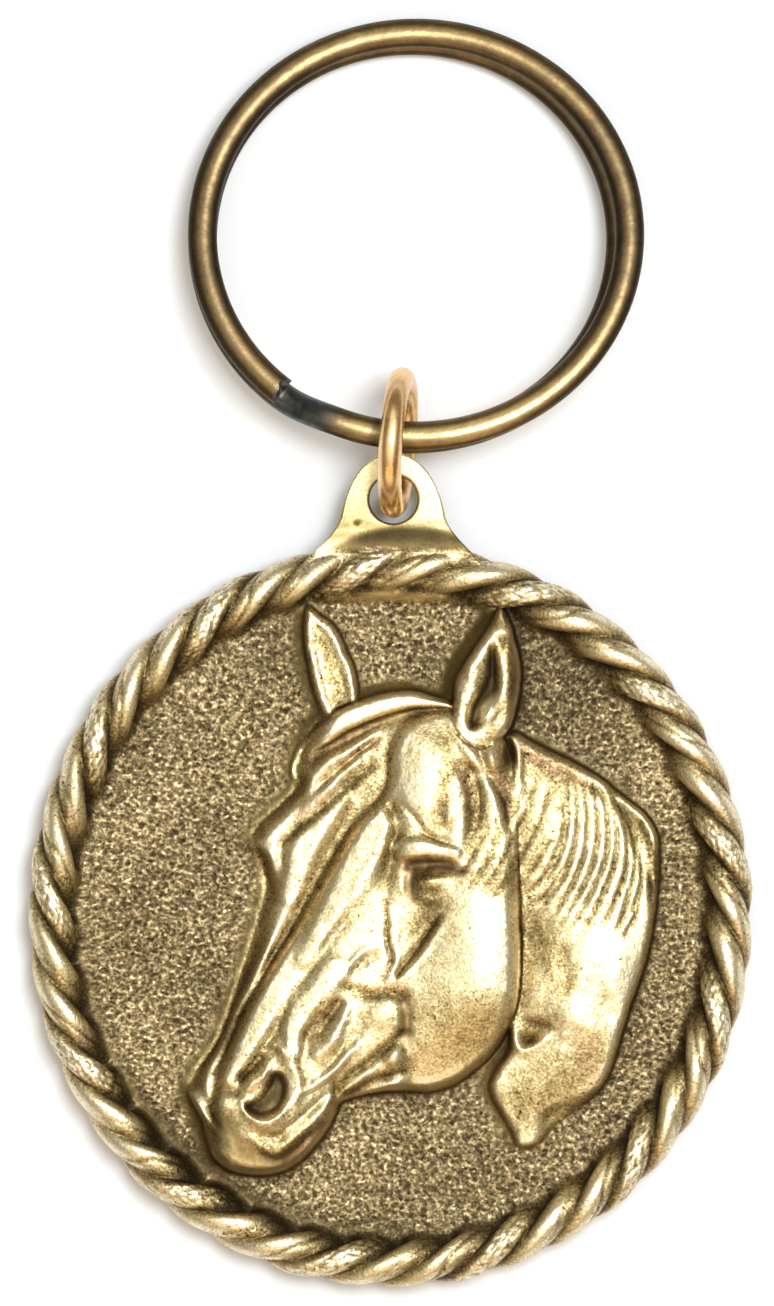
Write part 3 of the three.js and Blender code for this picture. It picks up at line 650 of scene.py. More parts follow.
def new_mesh(name, co, loops, sizes):
    me = bpy.data.meshes.new(name)
    me.vertices.add(len(co))
    me.vertices.foreach_set("co", np.ascontiguousarray(co, np.float32).ravel())
    me.loops.add(len(loops))
    me.loops.foreach_set("vertex_index", np.ascontiguousarray(loops, np.int32))
    me.polygons.add(len(sizes))
    me.polygons.foreach_set("loop_start", np.concatenate([[0], np.cumsum(sizes)[:-1]]).astype(np.int32))
    me.update(calc_edges=True)
    me.validate()
    ob = bpy.data.objects.new(name, me)
    bpy.context.scene.collection.objects.link(ob)
    return ob


def apply_modifiers(ob):
    dg = bpy.context.evaluated_depsgraph_get()
    me = bpy.data.meshes.new_from_object(ob.evaluated_get(dg), depsgraph=dg)
    ob.modifiers.clear()
    ob.data = me


def coords(ob):
    co = np.zeros(len(ob.data.vertices) * 3, np.float32)
    ob.data.vertices.foreach_get("co", co)
    return co.reshape(-1, 3).astype(float)


def drop_loose_bits(ob, least=200):
    """Deletes slivers and flaps of a few faces that don't belong to the closed skin."""
    bm = bmesh.new()
    bm.from_mesh(ob.data)
    bmesh.ops.remove_doubles(bm, verts=bm.verts, dist=0.001)
    seen, bits = set(), []
    for start in bm.faces:
        if start in seen:
            continue
        seen.add(start)
        island, todo = [start], [start]
        while todo:
            for e in todo.pop().edges:
                if len(e.link_faces) == 2:
                    for f in e.link_faces:
                        if f not in seen:
                            seen.add(f)
                            island.append(f)
                            todo.append(f)
        if len(island) < least:
            bits += island
    bmesh.ops.delete(bm, geom=bits, context='FACES')
    bm.to_mesh(ob.data)
    bm.free()
    print(ob.name, "loose faces deleted", len(bits))


def lattice_beads(s, q, pitch, seed):
    """Domes on a jittered lattice over the strip (s, q), 0 to 1."""
    i0, j0 = np.floor(s / pitch), np.floor(q / pitch)
    best = np.zeros(s.shape)
    for di in (-1, 0, 1):
        for dj in (-1, 0, 1):
            i, j = i0 + di, j0 + dj
            a = np.sin(i * 127.1 + j * 311.7 + seed) * 43758.5453
            b = np.sin(i * 269.5 + j * 183.3 + seed) * 43758.5453
            cx = (i + 0.5 + 0.5 * (a - np.floor(a) - 0.5)) * pitch
            cy = (j + 0.5 + 0.5 * (b - np.floor(b) - 0.5)) * pitch
            d = np.hypot(s - cx, q - cy) / (0.62 * pitch)
            best = np.maximum(best, np.clip(1 - d * d, 0, 1))
    return best


def rope_phase(section, turn):
    return 1.5 * (section - ROPE_TURNS * (turn - ROPE_START))


def rope_shape(section, turn):
    """Shrink of the rope's section at a place, with the strands' lobes and the beads."""
    phase = rope_phase(section, turn)
    strand = np.round(phase / np.pi)
    across = (phase / np.pi - strand)                      # -0.5 to 0.5 over a strand
    kind = np.mod(strand, 39)
    vary = np.sin(kind * 12.9898) * 43758.5453
    vary = vary - np.floor(vary) - 0.5
    # the crest lies to one side, with a steeper flank there
    lean = 0.12 + 0.10 * vary + 0.03 * np.sin(section * 3.1 + kind * 2.1)
    w = np.where(across < lean, 0.5 * (across + 0.5) / (lean + 0.5) - 0.5, 0.5 * (across - lean) / (0.5 - lean))
    inner = np.clip((np.degrees(section) - 95) / 60, 0, 1)
    groove = 0.55 * (1 - np.cos(np.pi * w)) ** 1.4 + 0.45 * np.abs(2 * w) ** (1.7 - 0.6 * inner)
    beaded = (np.mod(strand, 3) == 0)
    along = section * 1.45 + turn * 1.9
    bead = lattice_beads(along, across * 1.9, 0.34, 3.0) * beaded * np.clip(1 - (np.abs(across) / 0.42) ** 4, 0, 1)
    line = lean - 0.24 + 0.05 * np.sin(section * 2.3 + kind)
    second = np.exp(-((across - line) / 0.055) ** 2) * (np.mod(strand, 3) == 1)
    second += 0.5 * np.exp(-((across - line + 0.06) / 0.05) ** 2) * (np.mod(strand, 3) == 2)
    second *= np.clip((section - 0.35) / 0.4, 0, 1) * np.clip((2.9 - section) / 0.4, 0, 1)
    # worn strands: shallow towards the outside, pointed and deep towards the ground
    worn = worn_side(turn)
    outer = np.clip((85 - np.degrees(section)) / 60, 0, 1)
    tip = np.clip((np.degrees(section) - 88) / 60, 0, 1)
    groove = groove * (1 - 0.5 * worn * outer) + 0.45 * worn * tip * (1 - groove)
    shape = 1 - GROOVE * groove * (1 + 0.45 * inner) * (1 + 0.3 * vary) + 0.085 * bead - 0.03 * beaded - 0.055 * second
    # The third value lightens the patina: the beads' rubbed tops, and painted highlight lines along a fine line on the
    # strands without beads.
    return shape, groove, bead * 1.2 - 0.55 * beaded - 0.75 * second


def medallion_mesh(n):
    t = np.linspace(-1, 1, n + 1)
    A, B = np.meshgrid(t, t)
    wide = np.abs(A) >= np.abs(B)
    r = np.where(wide, A, B)
    ph = np.where(wide, (np.pi / 4) * B / np.where(A == 0, 1, A), np.pi / 2 - (np.pi / 4) * A / np.where(B == 0, 1, B))
    edge = 16.68
    x, y = edge * r * np.cos(ph), edge * r * np.sin(ph) * STRETCH
    z = GROUND + at(H, x, y)
    parts = [np.stack([x.ravel(), y.ravel(), z.ravel()], 1)]
    idx = np.arange((n + 1) ** 2).reshape(n + 1, n + 1)
    quads = [np.stack([idx[:-1, :-1], idx[:-1, 1:], idx[1:, 1:], idx[1:, :-1]], -1).reshape(-1, 4)]
    ring = np.concatenate([idx[:n, n], idx[n, n:0:-1], idx[n:0:-1, 0], idx[0, :n]])
    m = len(ring)
    turn = -np.pi / 4 + (np.pi / 2) / n * np.arange(m)
    count = (n + 1) ** 2
    rows = []
    s165 = math.radians(165)
    sh = rope_shape(np.full(m, s165), turn)[0]
    r1 = MEAN_R + ROPE_BREADTH / 2 * np.cos(s165) * sh
    z1 = ROPE_MID + (ROPE_TOP - ROPE_MID) * np.sin(s165) * sh
    for f in (0.2, 0.4, 0.6, 0.8):
        rr = edge + (r1 - edge) * f
        x, y = rr * np.cos(turn), rr * np.sin(turn) * STRETCH
        rows.append((x, y, GROUND + at(H, x, y) * (1 - f ** 3) + (z1 - GROUND) * f ** 2.2))
    sections = list(np.arange(165, 10, -4.5)) + list(np.arange(8, -63, -10))
    for deg in sections:
        a = math.radians(deg)
        sh = rope_shape(np.full(m, a), turn)[0]
        if deg < 0:
            sh = 1 + (sh - 1) * (1 - 0.7 * (-deg / 62))
        rr = MEAN_R + ROPE_BREADTH / 2 * math.cos(a) * sh
        zz = ROPE_MID + (ROPE_TOP - ROPE_MID) * math.sin(a) * sh
        x, y = rr * np.cos(turn), rr * np.sin(turn) * STRETCH
        if deg > 80:
            h = at(H, x, y)
            zz = np.where(h > 0.4, np.maximum(zz, GROUND + h), zz)
        rows.append((x, y, zz))
    rows.append((18.45 * np.cos(turn), 18.45 * np.sin(turn) * STRETCH, np.full(m, 0.1)))
    back = 12
    for i in range(back):
        rr = 18.07 * (1 - i / back)
        x, y = rr * np.cos(turn), rr * np.sin(turn)
        zz = (0.03 + 0.02 * np.sin(1.1 * x + 1.3 * np.sin(0.7 * y)) * np.sin(0.9 * y + 1.7)) * (i > 0)
        rows.append((rr * np.cos(turn), rr * np.sin(turn) * STRETCH, zz))
    for x, y, z in rows:
        parts.append(np.stack([x, y, z], 1))
        new = count + np.arange(m)
        quads.append(np.stack([ring, new, np.roll(new, -1), np.roll(ring, -1)], 1))
        ring, count = new, count + m
    parts.append(np.array([[0, 0, 0.03]]))
    quads = np.concatenate(quads)
    fan = np.stack([ring, np.full(m, count), np.roll(ring, -1)], 1)
    loops = np.concatenate([quads.ravel(), fan.ravel()])
    sizes = np.concatenate([np.full(len(quads), 4), np.full(len(fan), 3)])
    return new_mesh("medallion_body", np.concatenate(parts), loops, sizes)


LUG_HOLE = (0.16, 22.62)
LUG_HOLE_R = 1.31
LUG_SIDE = [
    [(-5.4, 18.4), (-4.2, 19.9), (-3.2, 20.4), (-2.75, 21.6)],
    [(-2.75, 21.6), (-2.45, 23.2), (-1.7, 25.05), (0.16, 25.2)],
    [(0.16, 25.2), (1.9, 25.05), (2.75, 23.2), (3.0, 21.6)],
    [(3.0, 21.6), (3.4, 20.5), (4.4, 19.9), (5.6, 18.4)],
    [(5.6, 18.4), (2.0, 18.4), (-2.0, 18.4), (-5.4, 18.4)],
]


def lug_mesh(m=300):
    """The lug, swept round its hole: out over its face, down its side, back under it."""
    pts = []
    for b in LUG_SIDE:
        u = np.linspace(0, 1, 120)[:-1, None]
        P = np.array(b)
        pts.append((1 - u) ** 3 * P[0] + 3 * u * (1 - u) ** 2 * P[1] + 3 * u * u * (1 - u) * P[2] + u ** 3 * P[3])
    pts = np.vstack(pts) - np.array(LUG_HOLE)
    ang = np.arctan2(pts[:, 1], pts[:, 0])
    order = np.argsort(ang)
    turn = np.linspace(-np.pi, np.pi, m, endpoint=False)
    R = np.interp(turn, ang[order], np.hypot(*pts.T)[order], period=2 * np.pi)
    top, low = 3.0, 1.9
    # place between hole and edge, inset, z
    prof = [(0, 0.0, 2.35), (0, 0.0, 2.8), (0, 0.02, 2.9), (0, 0.07, 2.97), (0, 0.14, top)]
    prof += [(f, 0.14, top) for f in np.linspace(0.06, 0.94, 22)]
    prof += [(1, -0.16, top - 0.01), (1, -0.08, top - 0.04), (1, -0.03, top - 0.10), (1, 0.0, top - 0.2),
             (1, 0.0, 2.5), (1, 0.0, 2.1), (1, -0.04, 1.97), (1, -0.12, low)]
    prof += [(f, 0.45, low) for f in (0.75, 0.5, 0.25, 0.0)]
    co = []
    for f, inset, z in prof:
        r = (LUG_HOLE_R + inset) * (1 - f) + (R + (inset if f == 1 else 0)) * f if 0 < f < 1 else (LUG_HOLE_R + inset if f == 0 else R + inset)
        x, y = LUG_HOLE[0] + r * np.cos(turn), LUG_HOLE[1] + r * np.sin(turn)
        zz = np.full(m, float(z))
        if z > 2.85:
            t = np.clip((21.25 - y) / 1.5, 0, 1)
            zz += 0.14 * t ** 1.6 - 0.05 * np.exp(-((y - 21.0 - 0.03 * x) / 0.3) ** 2)
            zz -= 0.10 * np.exp(-((x + 1.83) ** 2 + (y - 21.3) ** 2) / 0.14 ** 2)
            skin = np.sin(9.1 * x + 1.7 * np.sin(7.3 * y)) * np.sin(11.3 * y + 1.9 * np.sin(6.1 * x)) + 0.6 * np.sin(23 * x + 2 * np.sin(19 * y)) * np.sin(21 * y + 1.5 * np.sin(17 * x))
            zz += 0.007 * skin * (1 - np.clip(t * 4, 0, 1))
        co.append(np.stack([x, y, zz], 1))
    k = len(prof)
    idx = np.arange(k * m).reshape(k, m)
    a, b = idx, np.roll(idx, -1, 0)
    quads = np.stack([a, b, np.roll(b, -1, 1), np.roll(a, -1, 1)], -1).reshape(-1, 4)
    return new_mesh("lug_body", np.concatenate(co), quads.ravel(), np.full(len(quads), 4))


def medallion_piece():
    body = medallion_mesh(400)
    lug = lug_mesh()
    m = body.modifiers.new("join", 'BOOLEAN')
    m.operation, m.solver, m.object = 'UNION', 'MANIFOLD', lug
    apply_modifiers(body)
    bpy.data.objects.remove(lug)
    tris = sum(len(p.vertices) - 2 for p in body.data.polygons)
    # the lug keeps its even mesh
    co = coords(body)
    onlug = (co[:, 1] > 19.9) & (np.hypot(co[:, 0], co[:, 1] / STRETCH) > 19.5) & (np.abs(co[:, 0]) < 5.6)
    group = body.vertex_groups.new(name="may_shrink")
    group.add([int(i) for i in np.nonzero(~onlug)[0]], 1.0, 'REPLACE')
    m = body.modifiers.new("fewer", 'DECIMATE')
    m.vertex_group = "may_shrink"
    m.ratio = 190000 / tris
    apply_modifiers(body)
    drop_loose_bits(body)
    co = coords(body)
    x, y, z = co.T
    u = np.hypot(x, y / STRETCH)
    turn = np.arctan2(y / STRETCH, x)
    section = np.arctan2((z - ROPE_MID) / (ROPE_TOP - ROPE_MID), (u - MEAN_R) / (ROPE_BREADTH / 2))
    shape, groove, rubbed_and_painted_lines = rope_shape(section, turn)
    rope = np.clip((u - 17.0) / 0.25, 0, 1)
    islug = (y > 19.9) & (u > 19.5) & (np.abs(x) < 5.6)
    hollow, hollow_wide, slope, gm = at(HOLLOW, x, y), at(HOLLOW_WIDE, x, y), at(SLOPE, x, y), at(GROUND_MASK, x, y)
    # the slope term darkens steep sides as painted shade, and the strokes add painted shade and highlights to the
    # patina
    head_patina_and_painted_light = 0.20 + 0.68 * hollow + 0.30 * hollow_wide + 0.13 * np.clip(slope - 0.3, 0, 1.2) + at(PATINA_AND_PAINTED_LIGHT_MAP, x, y)
    solid = at(SOLID, x, y)
    # top: a painted highlight along the lower edge of the fillet under the lug
    top = np.exp(-((x - 1.0) / 4.8) ** 4 - ((y - 17.35) / 0.42) ** 2)
    fillet_patina_and_painted_highlight = 0.58 - 0.38 * top + 0.3 * hollow
    head_patina_and_painted_light = head_patina_and_painted_light * solid + fillet_patina_and_painted_highlight * (1 - solid)
    foot = at(FOOT, x, y)
    ground_patina = 0.625 + 1.6 * (hollow - foot) + 0.10 * foot + 0.2 * hollow_wide + at(GROUND_TONE, x, y)
    # patina together with the painted shade and highlights above
    patina_and_painted_light = head_patina_and_painted_light * (1 - gm) + ground_patina * gm
    sec = np.degrees(section)
    rope_patina_and_painted_lines = 0.125 + 0.55 * groove ** 1.2 + 0.25 * groove * np.clip((sec - 90) / 50, 0, 1) + 0.40 * np.clip((sec - 140) / 35, 0, 1)
    rope_patina_and_painted_lines += 0.12 * np.clip((40 - sec) / 40, 0, 1) - 0.42 * rubbed_and_painted_lines
    rope_patina_and_painted_lines += worn_side(turn) * (0.22 * np.clip((sec - 105) / 40, 0, 1) - 0.10 * np.clip((70 - sec) / 50, 0, 1))
    patina_and_painted_light = patina_and_painted_light * (1 - rope) + rope_patina_and_painted_lines * rope
    patina_and_painted_light += 0.24 * np.clip((u - 16.0) / 0.6, 0, 1) * worn_side(turn) * (1 - rope) * (1 - solid)
    low_band = np.clip((21.38 + 0.05 * x - 0.07 * (x - 0.6) ** 2 - y) / 0.5, 0, 1)
    low_band = low_band * low_band * (3 - 2 * low_band)
    lug_patina = 0.20 + 0.20 * np.clip((24.0 - 0.3 * x - y) / 3.0, 0, 1) + (0.48 - 0.16 * np.clip((-1.4 - x) / 1.6, 0, 1)) * low_band - 0.16 * np.clip((20.5 - y) / 0.45, 0, 1)
    lug_patina += 0.4 * np.exp(-((x + 1.83) ** 2 + (y - 21.3) ** 2) / 0.13 ** 2)
    lug_patina += 0.3 * (np.hypot(x - LUG_HOLE[0], y - LUG_HOLE[1]) < LUG_HOLE_R + 0.06)
    patina_and_painted_light = np.where(islug, lug_patina, patina_and_painted_light)
    patina_and_painted_light = np.where(z < 1.2, 0.5, patina_and_painted_light)
    rope = np.where(islug, 0, rope)
    gm = np.where(islug | (z < 1.2), 0, gm * (1 - rope))
    me = body.data
    # reddish patina from the strokes, painted warm reflection on the head's steep sides, and a reddish tint on the
    # rope's outer side
    copper_and_warm_reflection = np.maximum(at(COPPER_AND_WARM_REFLECTION_MAP, x, y), 0.6 * np.clip((slope - 0.75) / 0.8, 0, 1) * solid) * (1 - gm) * (1 - rope) * ~islug
    copper_and_warm_reflection = np.maximum(copper_and_warm_reflection, (0.45 + 0.3 * worn_side(turn)) * rope * np.clip((55 - sec) / 60, 0, 1))
    calm = np.maximum((1 - solid) * (1 - gm) * (1 - rope) * 0.8, low_band * islug * 0.85)
    calm = np.maximum(calm, at(CALM, x, y) * solid)
    gm = np.maximum(gm, 0.45 * rope)
    # the underside is as cast
    under = z < 1.2
    copper_and_warm_reflection, calm = np.where(under, 0.1, copper_and_warm_reflection), np.where(under, 0.1, calm)
    col = np.stack([np.clip(patina_and_painted_light, 0, 1), gm, np.clip(copper_and_warm_reflection, 0, 1), 1 - calm], 1)
    # channels: patina with painted shade and highlights, dust, reddish patina with painted warm reflection, and casting
    # grain
    layer = me.color_attributes.new("wear_and_painted_light", 'FLOAT_COLOR', 'POINT')
    layer.data.foreach_set("color", col.astype(np.float32).ravel())
    body.name = "medallion_relief"
    return body


def swept(name, rings):
    """A closed tube through a list of rings of points, with flat ends."""
    k, m = len(rings), len(rings[0])
    idx = np.arange(k * m).reshape(k, m)
    a, b = idx[:-1], idx[1:]
    quads = np.stack([a, b, np.roll(b, -1, 1), np.roll(a, -1, 1)], -1).reshape(-1, 4)
    caps = np.stack([idx[0], idx[-1][::-1]])
    loops = np.concatenate([quads.ravel(), caps.ravel()])
    sizes = np.concatenate([np.full(len(quads), 4), [m, m]])
    return new_mesh(name, np.concatenate(rings), loops, sizes)


def turned(co, ax, degrees):
    c, s = math.cos(math.radians(degrees)), math.sin(math.radians(degrees))
    x, y, z = co.T
    if ax == 'x':
        return np.stack([x, y * c - z * s, y * s + z * c], 1)
    if ax == 'y':
        return np.stack([x * c + z * s, y, -x * s + z * c], 1)
    return np.stack([x * c - y * s, x * s + y * c, z], 1)


def noise_1d(t, scales, seed):
    rng = np.random.default_rng(seed)
    out = np.zeros_like(t)
    for s in scales:
        a, b = rng.uniform(0, 2 * np.pi, 2)
        f = s * rng.uniform(0.85, 1.15)
        out += np.sin(t * f + a) * np.cos(t * f * 0.37 + b) / len(scales)
    return out


def split_ring_piece(steps=1440, m=30):
    start, end, ramp0, ramp1 = 264 - 360, 231.5 + 360, 231.8, 249
    deg = np.linspace(start, end, steps)
    t = np.clip((deg - ramp0) / (ramp1 - ramp0), 0, 1)
    up = t * t * (3 - 2 * t)
    cx, cy, ra, rb = -0.24 + 0.24 * up, -0.1 + 0.1 * up, 11.38 + 0.23 * up, 11.02 + 0.10 * up
    a = np.radians(deg)
    line = np.stack([cx + ra * np.cos(a), cy + rb * np.sin(a), 0.53 + 1.13 * up], 1)
    tan = np.gradient(line, axis=0)
    tan /= np.linalg.norm(tan, axis=1)[:, None]
    out = np.cross(tan, [0, 0, 1.0])
    out /= np.linalg.norm(out, axis=1)[:, None]
    nrm = np.cross(out, tan)
    q = np.linspace(0, 2 * np.pi, m, endpoint=False)
    cu = np.cos(q) * 0.79
    cv = np.sin(q) * 0.53
    wob = 1 + 0.006 * noise_1d(a, (9, 17, 31, 60), 4)
    rings = []
    for i in range(steps):
        rings.append(line[i] + out[i] * (cu * wob[i])[:, None] + nrm[i] * (cv * wob[i])[:, None])
    # the upper turn's cut end is sheared off unevenly
    jag = 0.16 * np.sin(2.3 * q + 0.6) + 0.09 * np.sin(5 * q + 1.1) + 0.05 * np.sin(9 * q)
    for j in range(6):
        rings[-1 - j] = rings[-1 - j] + tan[-1 - j] * ((jag - 0.16) * (1 - j / 6))[:, None]
    ob = swept("split_ring_wire", rings)
    co = coords(ob)
    cut = np.zeros(len(co))
    d = np.repeat(deg, m)
    low = np.repeat(up, m)
    # bare steel on the ramp and on the cut end
    steel = np.clip(1.7 * (1 - np.abs(d - 239.0) / 11.0), 0, 1) * (d > 229.0)
    steel = np.maximum(steel, np.clip((d - 590.4) / 1.0, 0, 1))
    # side: darker on the wire's inner and outer flanks, painted shade that narrows the highlight along its crown
    side = np.tile(np.abs(np.cos(q)) ** 2, steps)
    lower = np.clip((236 - d) / 4, 0, 1)
    # painted light and shade along the ring: lighter at its top and bottom, darker at its left and right, a painted
    # highlight at the lower right, a painted shadow of the jump ring near 259 degrees and a lighter stub before it
    painted_highlight_and_shadow = 0.5 + 0.5 * np.cos(2 * np.radians(d))
    painted_highlight_and_shadow += 0.1 + 0.12 * np.cos(np.radians(d)) - 1.1 * np.exp(-(((d - 292 + 180) % 360 - 180) / 26) ** 2)
    painted_highlight_and_shadow += 1.3 * np.exp(-((d - 259.2) / 1.2) ** 2) - 0.5 * np.exp(-((d - 254.5) / 2.4) ** 2)
    col = np.stack([steel, side, lower, painted_highlight_and_shadow], 1)
    co = turned(co, 'x', -8.2) + np.array([1.39, 36.8, 1.62])
    ob.data.vertices.foreach_set("co", (co).astype(np.float32).ravel())
    layer = ob.data.color_attributes.new("wear_and_painted_light", 'FLOAT_COLOR', 'POINT')
    layer.data.foreach_set("color", col.astype(np.float32).ravel())
    return ob


def jump_ring_piece(k=288, m=48):
    a = np.linspace(0, 2 * np.pi, k, endpoint=False)
    b = np.linspace(0, 2 * np.pi, m, endpoint=False)
    A, B = np.meshgrid(a, b, indexing='ij')
    wire = 0.64 * (1 + 0.006 * noise_1d(A * 1.0, (5, 11, 23), 7) + 0.004 * noise_1d(B + A, (3, 7), 8))
    r = 3.46 + wire * np.cos(B)
    co = np.stack([wire * np.sin(B), r * np.sin(A), r * np.cos(A)], -1).reshape(-1, 3)
    co = turned(turned(co, 'y', -6.5), 'z', -4.2) + np.array([0.41, 25.68, 4.1])
    idx = np.arange(k * m).reshape(k, m)
    ia, ib = idx, np.roll(idx, -1, 0)
    quads = np.stack([ia, ib, np.roll(ib, -1, 1), np.roll(ia, -1, 1)], -1).reshape(-1, 4)
    return new_mesh("jump_ring_wire", co, quads.ravel(), np.full(len(quads), 4))


def outward(ob):
    """Turns the faces outwards and gives the signed volume in cubic millimetres."""
    me = ob.data
    me.calc_loop_triangles()
    tri = np.zeros(len(me.loop_triangles) * 3, np.int32)
    me.loop_triangles.foreach_get("vertices", tri)
    co = coords(ob)
    a, b, c = co[tri.reshape(-1, 3)].transpose(1, 0, 2)
    v = np.einsum('ij,ij->i', a, np.cross(b, c)).sum() / 6
    if v < 0:
        me.flip_normals()
    return v


def finish_piece(ob, node, material):
    v = outward(ob)
    ob.data.transform(Matrix.Scale(MM, 4))
    ob.data.polygons.foreach_set("use_smooth", np.ones(len(ob.data.polygons), bool))
    ob.data.materials.clear()
    ob.data.materials.append(material)
    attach(ob, "root")
    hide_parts(node)
    print(ob.name, "polygons", len(ob.data.polygons), "volume mm3", round(v, 1))


# ------------------------------------------------------------------- materials
class Nodes:
    def __init__(self, name):
        self.mat = bpy.data.materials.new(name)
        self.mat.use_nodes = True
        self.tree = self.mat.node_tree
        self.tree.nodes.clear()
        out = self.tree.nodes.new('ShaderNodeOutputMaterial')
        self.bsdf = self.tree.nodes.new('ShaderNodeBsdfPrincipled')
        self.tree.links.new(self.bsdf.outputs[0], out.inputs[0])

    def add(self, kind, props=None, **inputs):
        n = self.tree.nodes.new('ShaderNode' + kind)
        for k, v in (props or {}).items():
            setattr(n, k, v)
        for k, v in inputs.items():
            self.put(n.inputs[int(k[1:]) if k[0] == '_' and k[1:].isdigit() else k.replace('_', ' ')], v)
        return n

    def put(self, socket, v):
        if hasattr(v, 'outputs'):
            v = v.outputs[0]
        if hasattr(v, 'is_output'):
            self.tree.links.new(v, socket)
        else:
            socket.default_value = v

    def math(self, op, a, b=0.0, clamp=False):
        return self.add('Math', {'operation': op, 'use_clamp': clamp}, _0=a, _1=b)

    def noise(self, vector, scale, detail=2.0, rough=0.5):
        n = self.add('TexNoise', None, Scale=scale, Detail=detail, Roughness=rough)
        self.put(n.inputs['Vector'], vector)
        return n

    def ramp(self, fac, stops):
        n = self.add('ValToRGB', None, _0=fac)
        e = n.color_ramp.elements
        while len(e) < len(stops):
            e.new(0.5)
        for el, (p, c) in zip(e, stops):
            el.position = p
            el.color = (*c, 1)
        return n

    def stretch(self, v, lo, hi, a, b):
        return self.add('MapRange', None, _0=v, _1=lo, _2=hi, _3=a, _4=b)


def brass_material():
    n = Nodes("antique_cast_brass")
    tc = n.add('TexCoord').outputs['Object']
    wear_and_painted_light = n.add('Attribute', {'attribute_name': 'wear_and_painted_light'})
    sep = n.add('SeparateColor', None, _0=wear_and_painted_light.outputs['Color'])
    patina_and_painted_light, ground, copper_and_warm_reflection, rough_cast = sep.outputs[0], sep.outputs[1], sep.outputs[2], wear_and_painted_light.outputs['Alpha']
    big = n.noise(tc, 190.0, 3.0)
    mid = n.noise(tc, 1500.0, 3.0, 0.6)
    fine = n.noise(tc, 7000.0, 2.0, 0.6)
    # blotches, casting skin, grains and small dark pits, fainter where the surface is calm
    spots = n.math('ADD', n.math('MULTIPLY', n.math('SUBTRACT', mid, 0.5), 0.40), n.math('MULTIPLY', n.math('SUBTRACT', fine, 0.5), 0.9))
    pits = n.math('MULTIPLY', n.stretch(n.noise(tc, 4300.0, 1.0, 0.4), 0.64, 0.72, 0.0, 0.38), n.stretch(n.noise(tc, 420.0, 2.0), 0.45, 0.6, 0.0, 1.0))
    spots = n.math('MULTIPLY', n.math('ADD', spots, pits), rough_cast)
    # the patina channel also holds painted shade and highlights
    p = n.math('ADD', patina_and_painted_light, n.math('MULTIPLY', n.math('SUBTRACT', big, 0.5), 0.30))
    p = n.math('ADD', p, spots, clamp=True)
    col = n.ramp(p, [(0.0, (0.90, 0.85, 0.66)), (0.20, (0.72, 0.63, 0.37)), (0.42, (0.40, 0.315, 0.145)),
                     (0.62, (0.185, 0.139, 0.060)), (0.82, (0.084, 0.063, 0.028)), (1.0, (0.042, 0.031, 0.015))])
    warm = n.ramp(p, [(0.0, (0.72, 0.52, 0.34)), (0.4, (0.42, 0.27, 0.15)), (0.7, (0.17, 0.105, 0.06)), (1.0, (0.05, 0.033, 0.02))])
    dusty = n.ramp(p, [(0.0, (0.86, 0.79, 0.66)), (0.20, (0.70, 0.61, 0.46)), (0.42, (0.41, 0.335, 0.215)),
                       (0.62, (0.195, 0.152, 0.092)), (0.82, (0.088, 0.068, 0.042)), (1.0, (0.045, 0.035, 0.022))])
    dust = n.add('Mix', {'data_type': 'RGBA'})
    n.put(dust.inputs[0], n.math('MULTIPLY', ground, 0.5, clamp=True))
    n.put(dust.inputs[6], col)
    n.put(dust.inputs[7], dusty)
    # reddish patina and painted warm reflection
    mix = n.add('Mix', {'data_type': 'RGBA'})
    n.put(mix.inputs[0], n.math('MULTIPLY', copper_and_warm_reflection, 0.8, clamp=True))
    n.put(mix.inputs[6], dust.outputs[2])
    n.put(mix.inputs[7], warm)
    n.put(n.bsdf.inputs['Base Color'], mix.outputs[2])
    n.bsdf.inputs['Metallic'].default_value = 1.0
    rough = n.math('ADD', n.stretch(p, 0.0, 1.0, 0.36, 0.62), n.math('MULTIPLY', n.math('SUBTRACT', mid, 0.5), 0.15), clamp=True)
    n.put(n.bsdf.inputs['Roughness'], rough)
    b1 = n.add('Bump', None, Strength=1.0, Distance=0.00004, Height=n.math('MULTIPLY', fine, n.math('MULTIPLY', n.math('ADD', 0.65, n.math('MULTIPLY', ground, 0.5)), rough_cast)))
    n.put(n.bsdf.inputs['Normal'], b1)
    return n.mat


def copper_material():
    n = Nodes("rose_gold_wire")
    tc = n.add('TexCoord').outputs['Object']
    mid = n.noise(tc, 900.0, 3.0)
    fine = n.noise(tc, 6000.0, 2.0)
    col = n.ramp(n.math('ADD', mid, n.math('MULTIPLY', n.math('SUBTRACT', fine, 0.5), 0.2), clamp=True),
                 [(0.25, (0.72, 0.43, 0.19)), (0.55, (0.85, 0.57, 0.29)), (0.8, (0.92, 0.68, 0.41))])
    n.put(n.bsdf.inputs['Base Color'], col)
    n.bsdf.inputs['Metallic'].default_value = 1.0
    n.put(n.bsdf.inputs['Roughness'], n.stretch(mid, 0.2, 0.8, 0.20, 0.34))
    n.put(n.bsdf.inputs['Normal'], n.add('Bump', None, Strength=0.6, Distance=0.000012, Height=fine))
    return n.mat


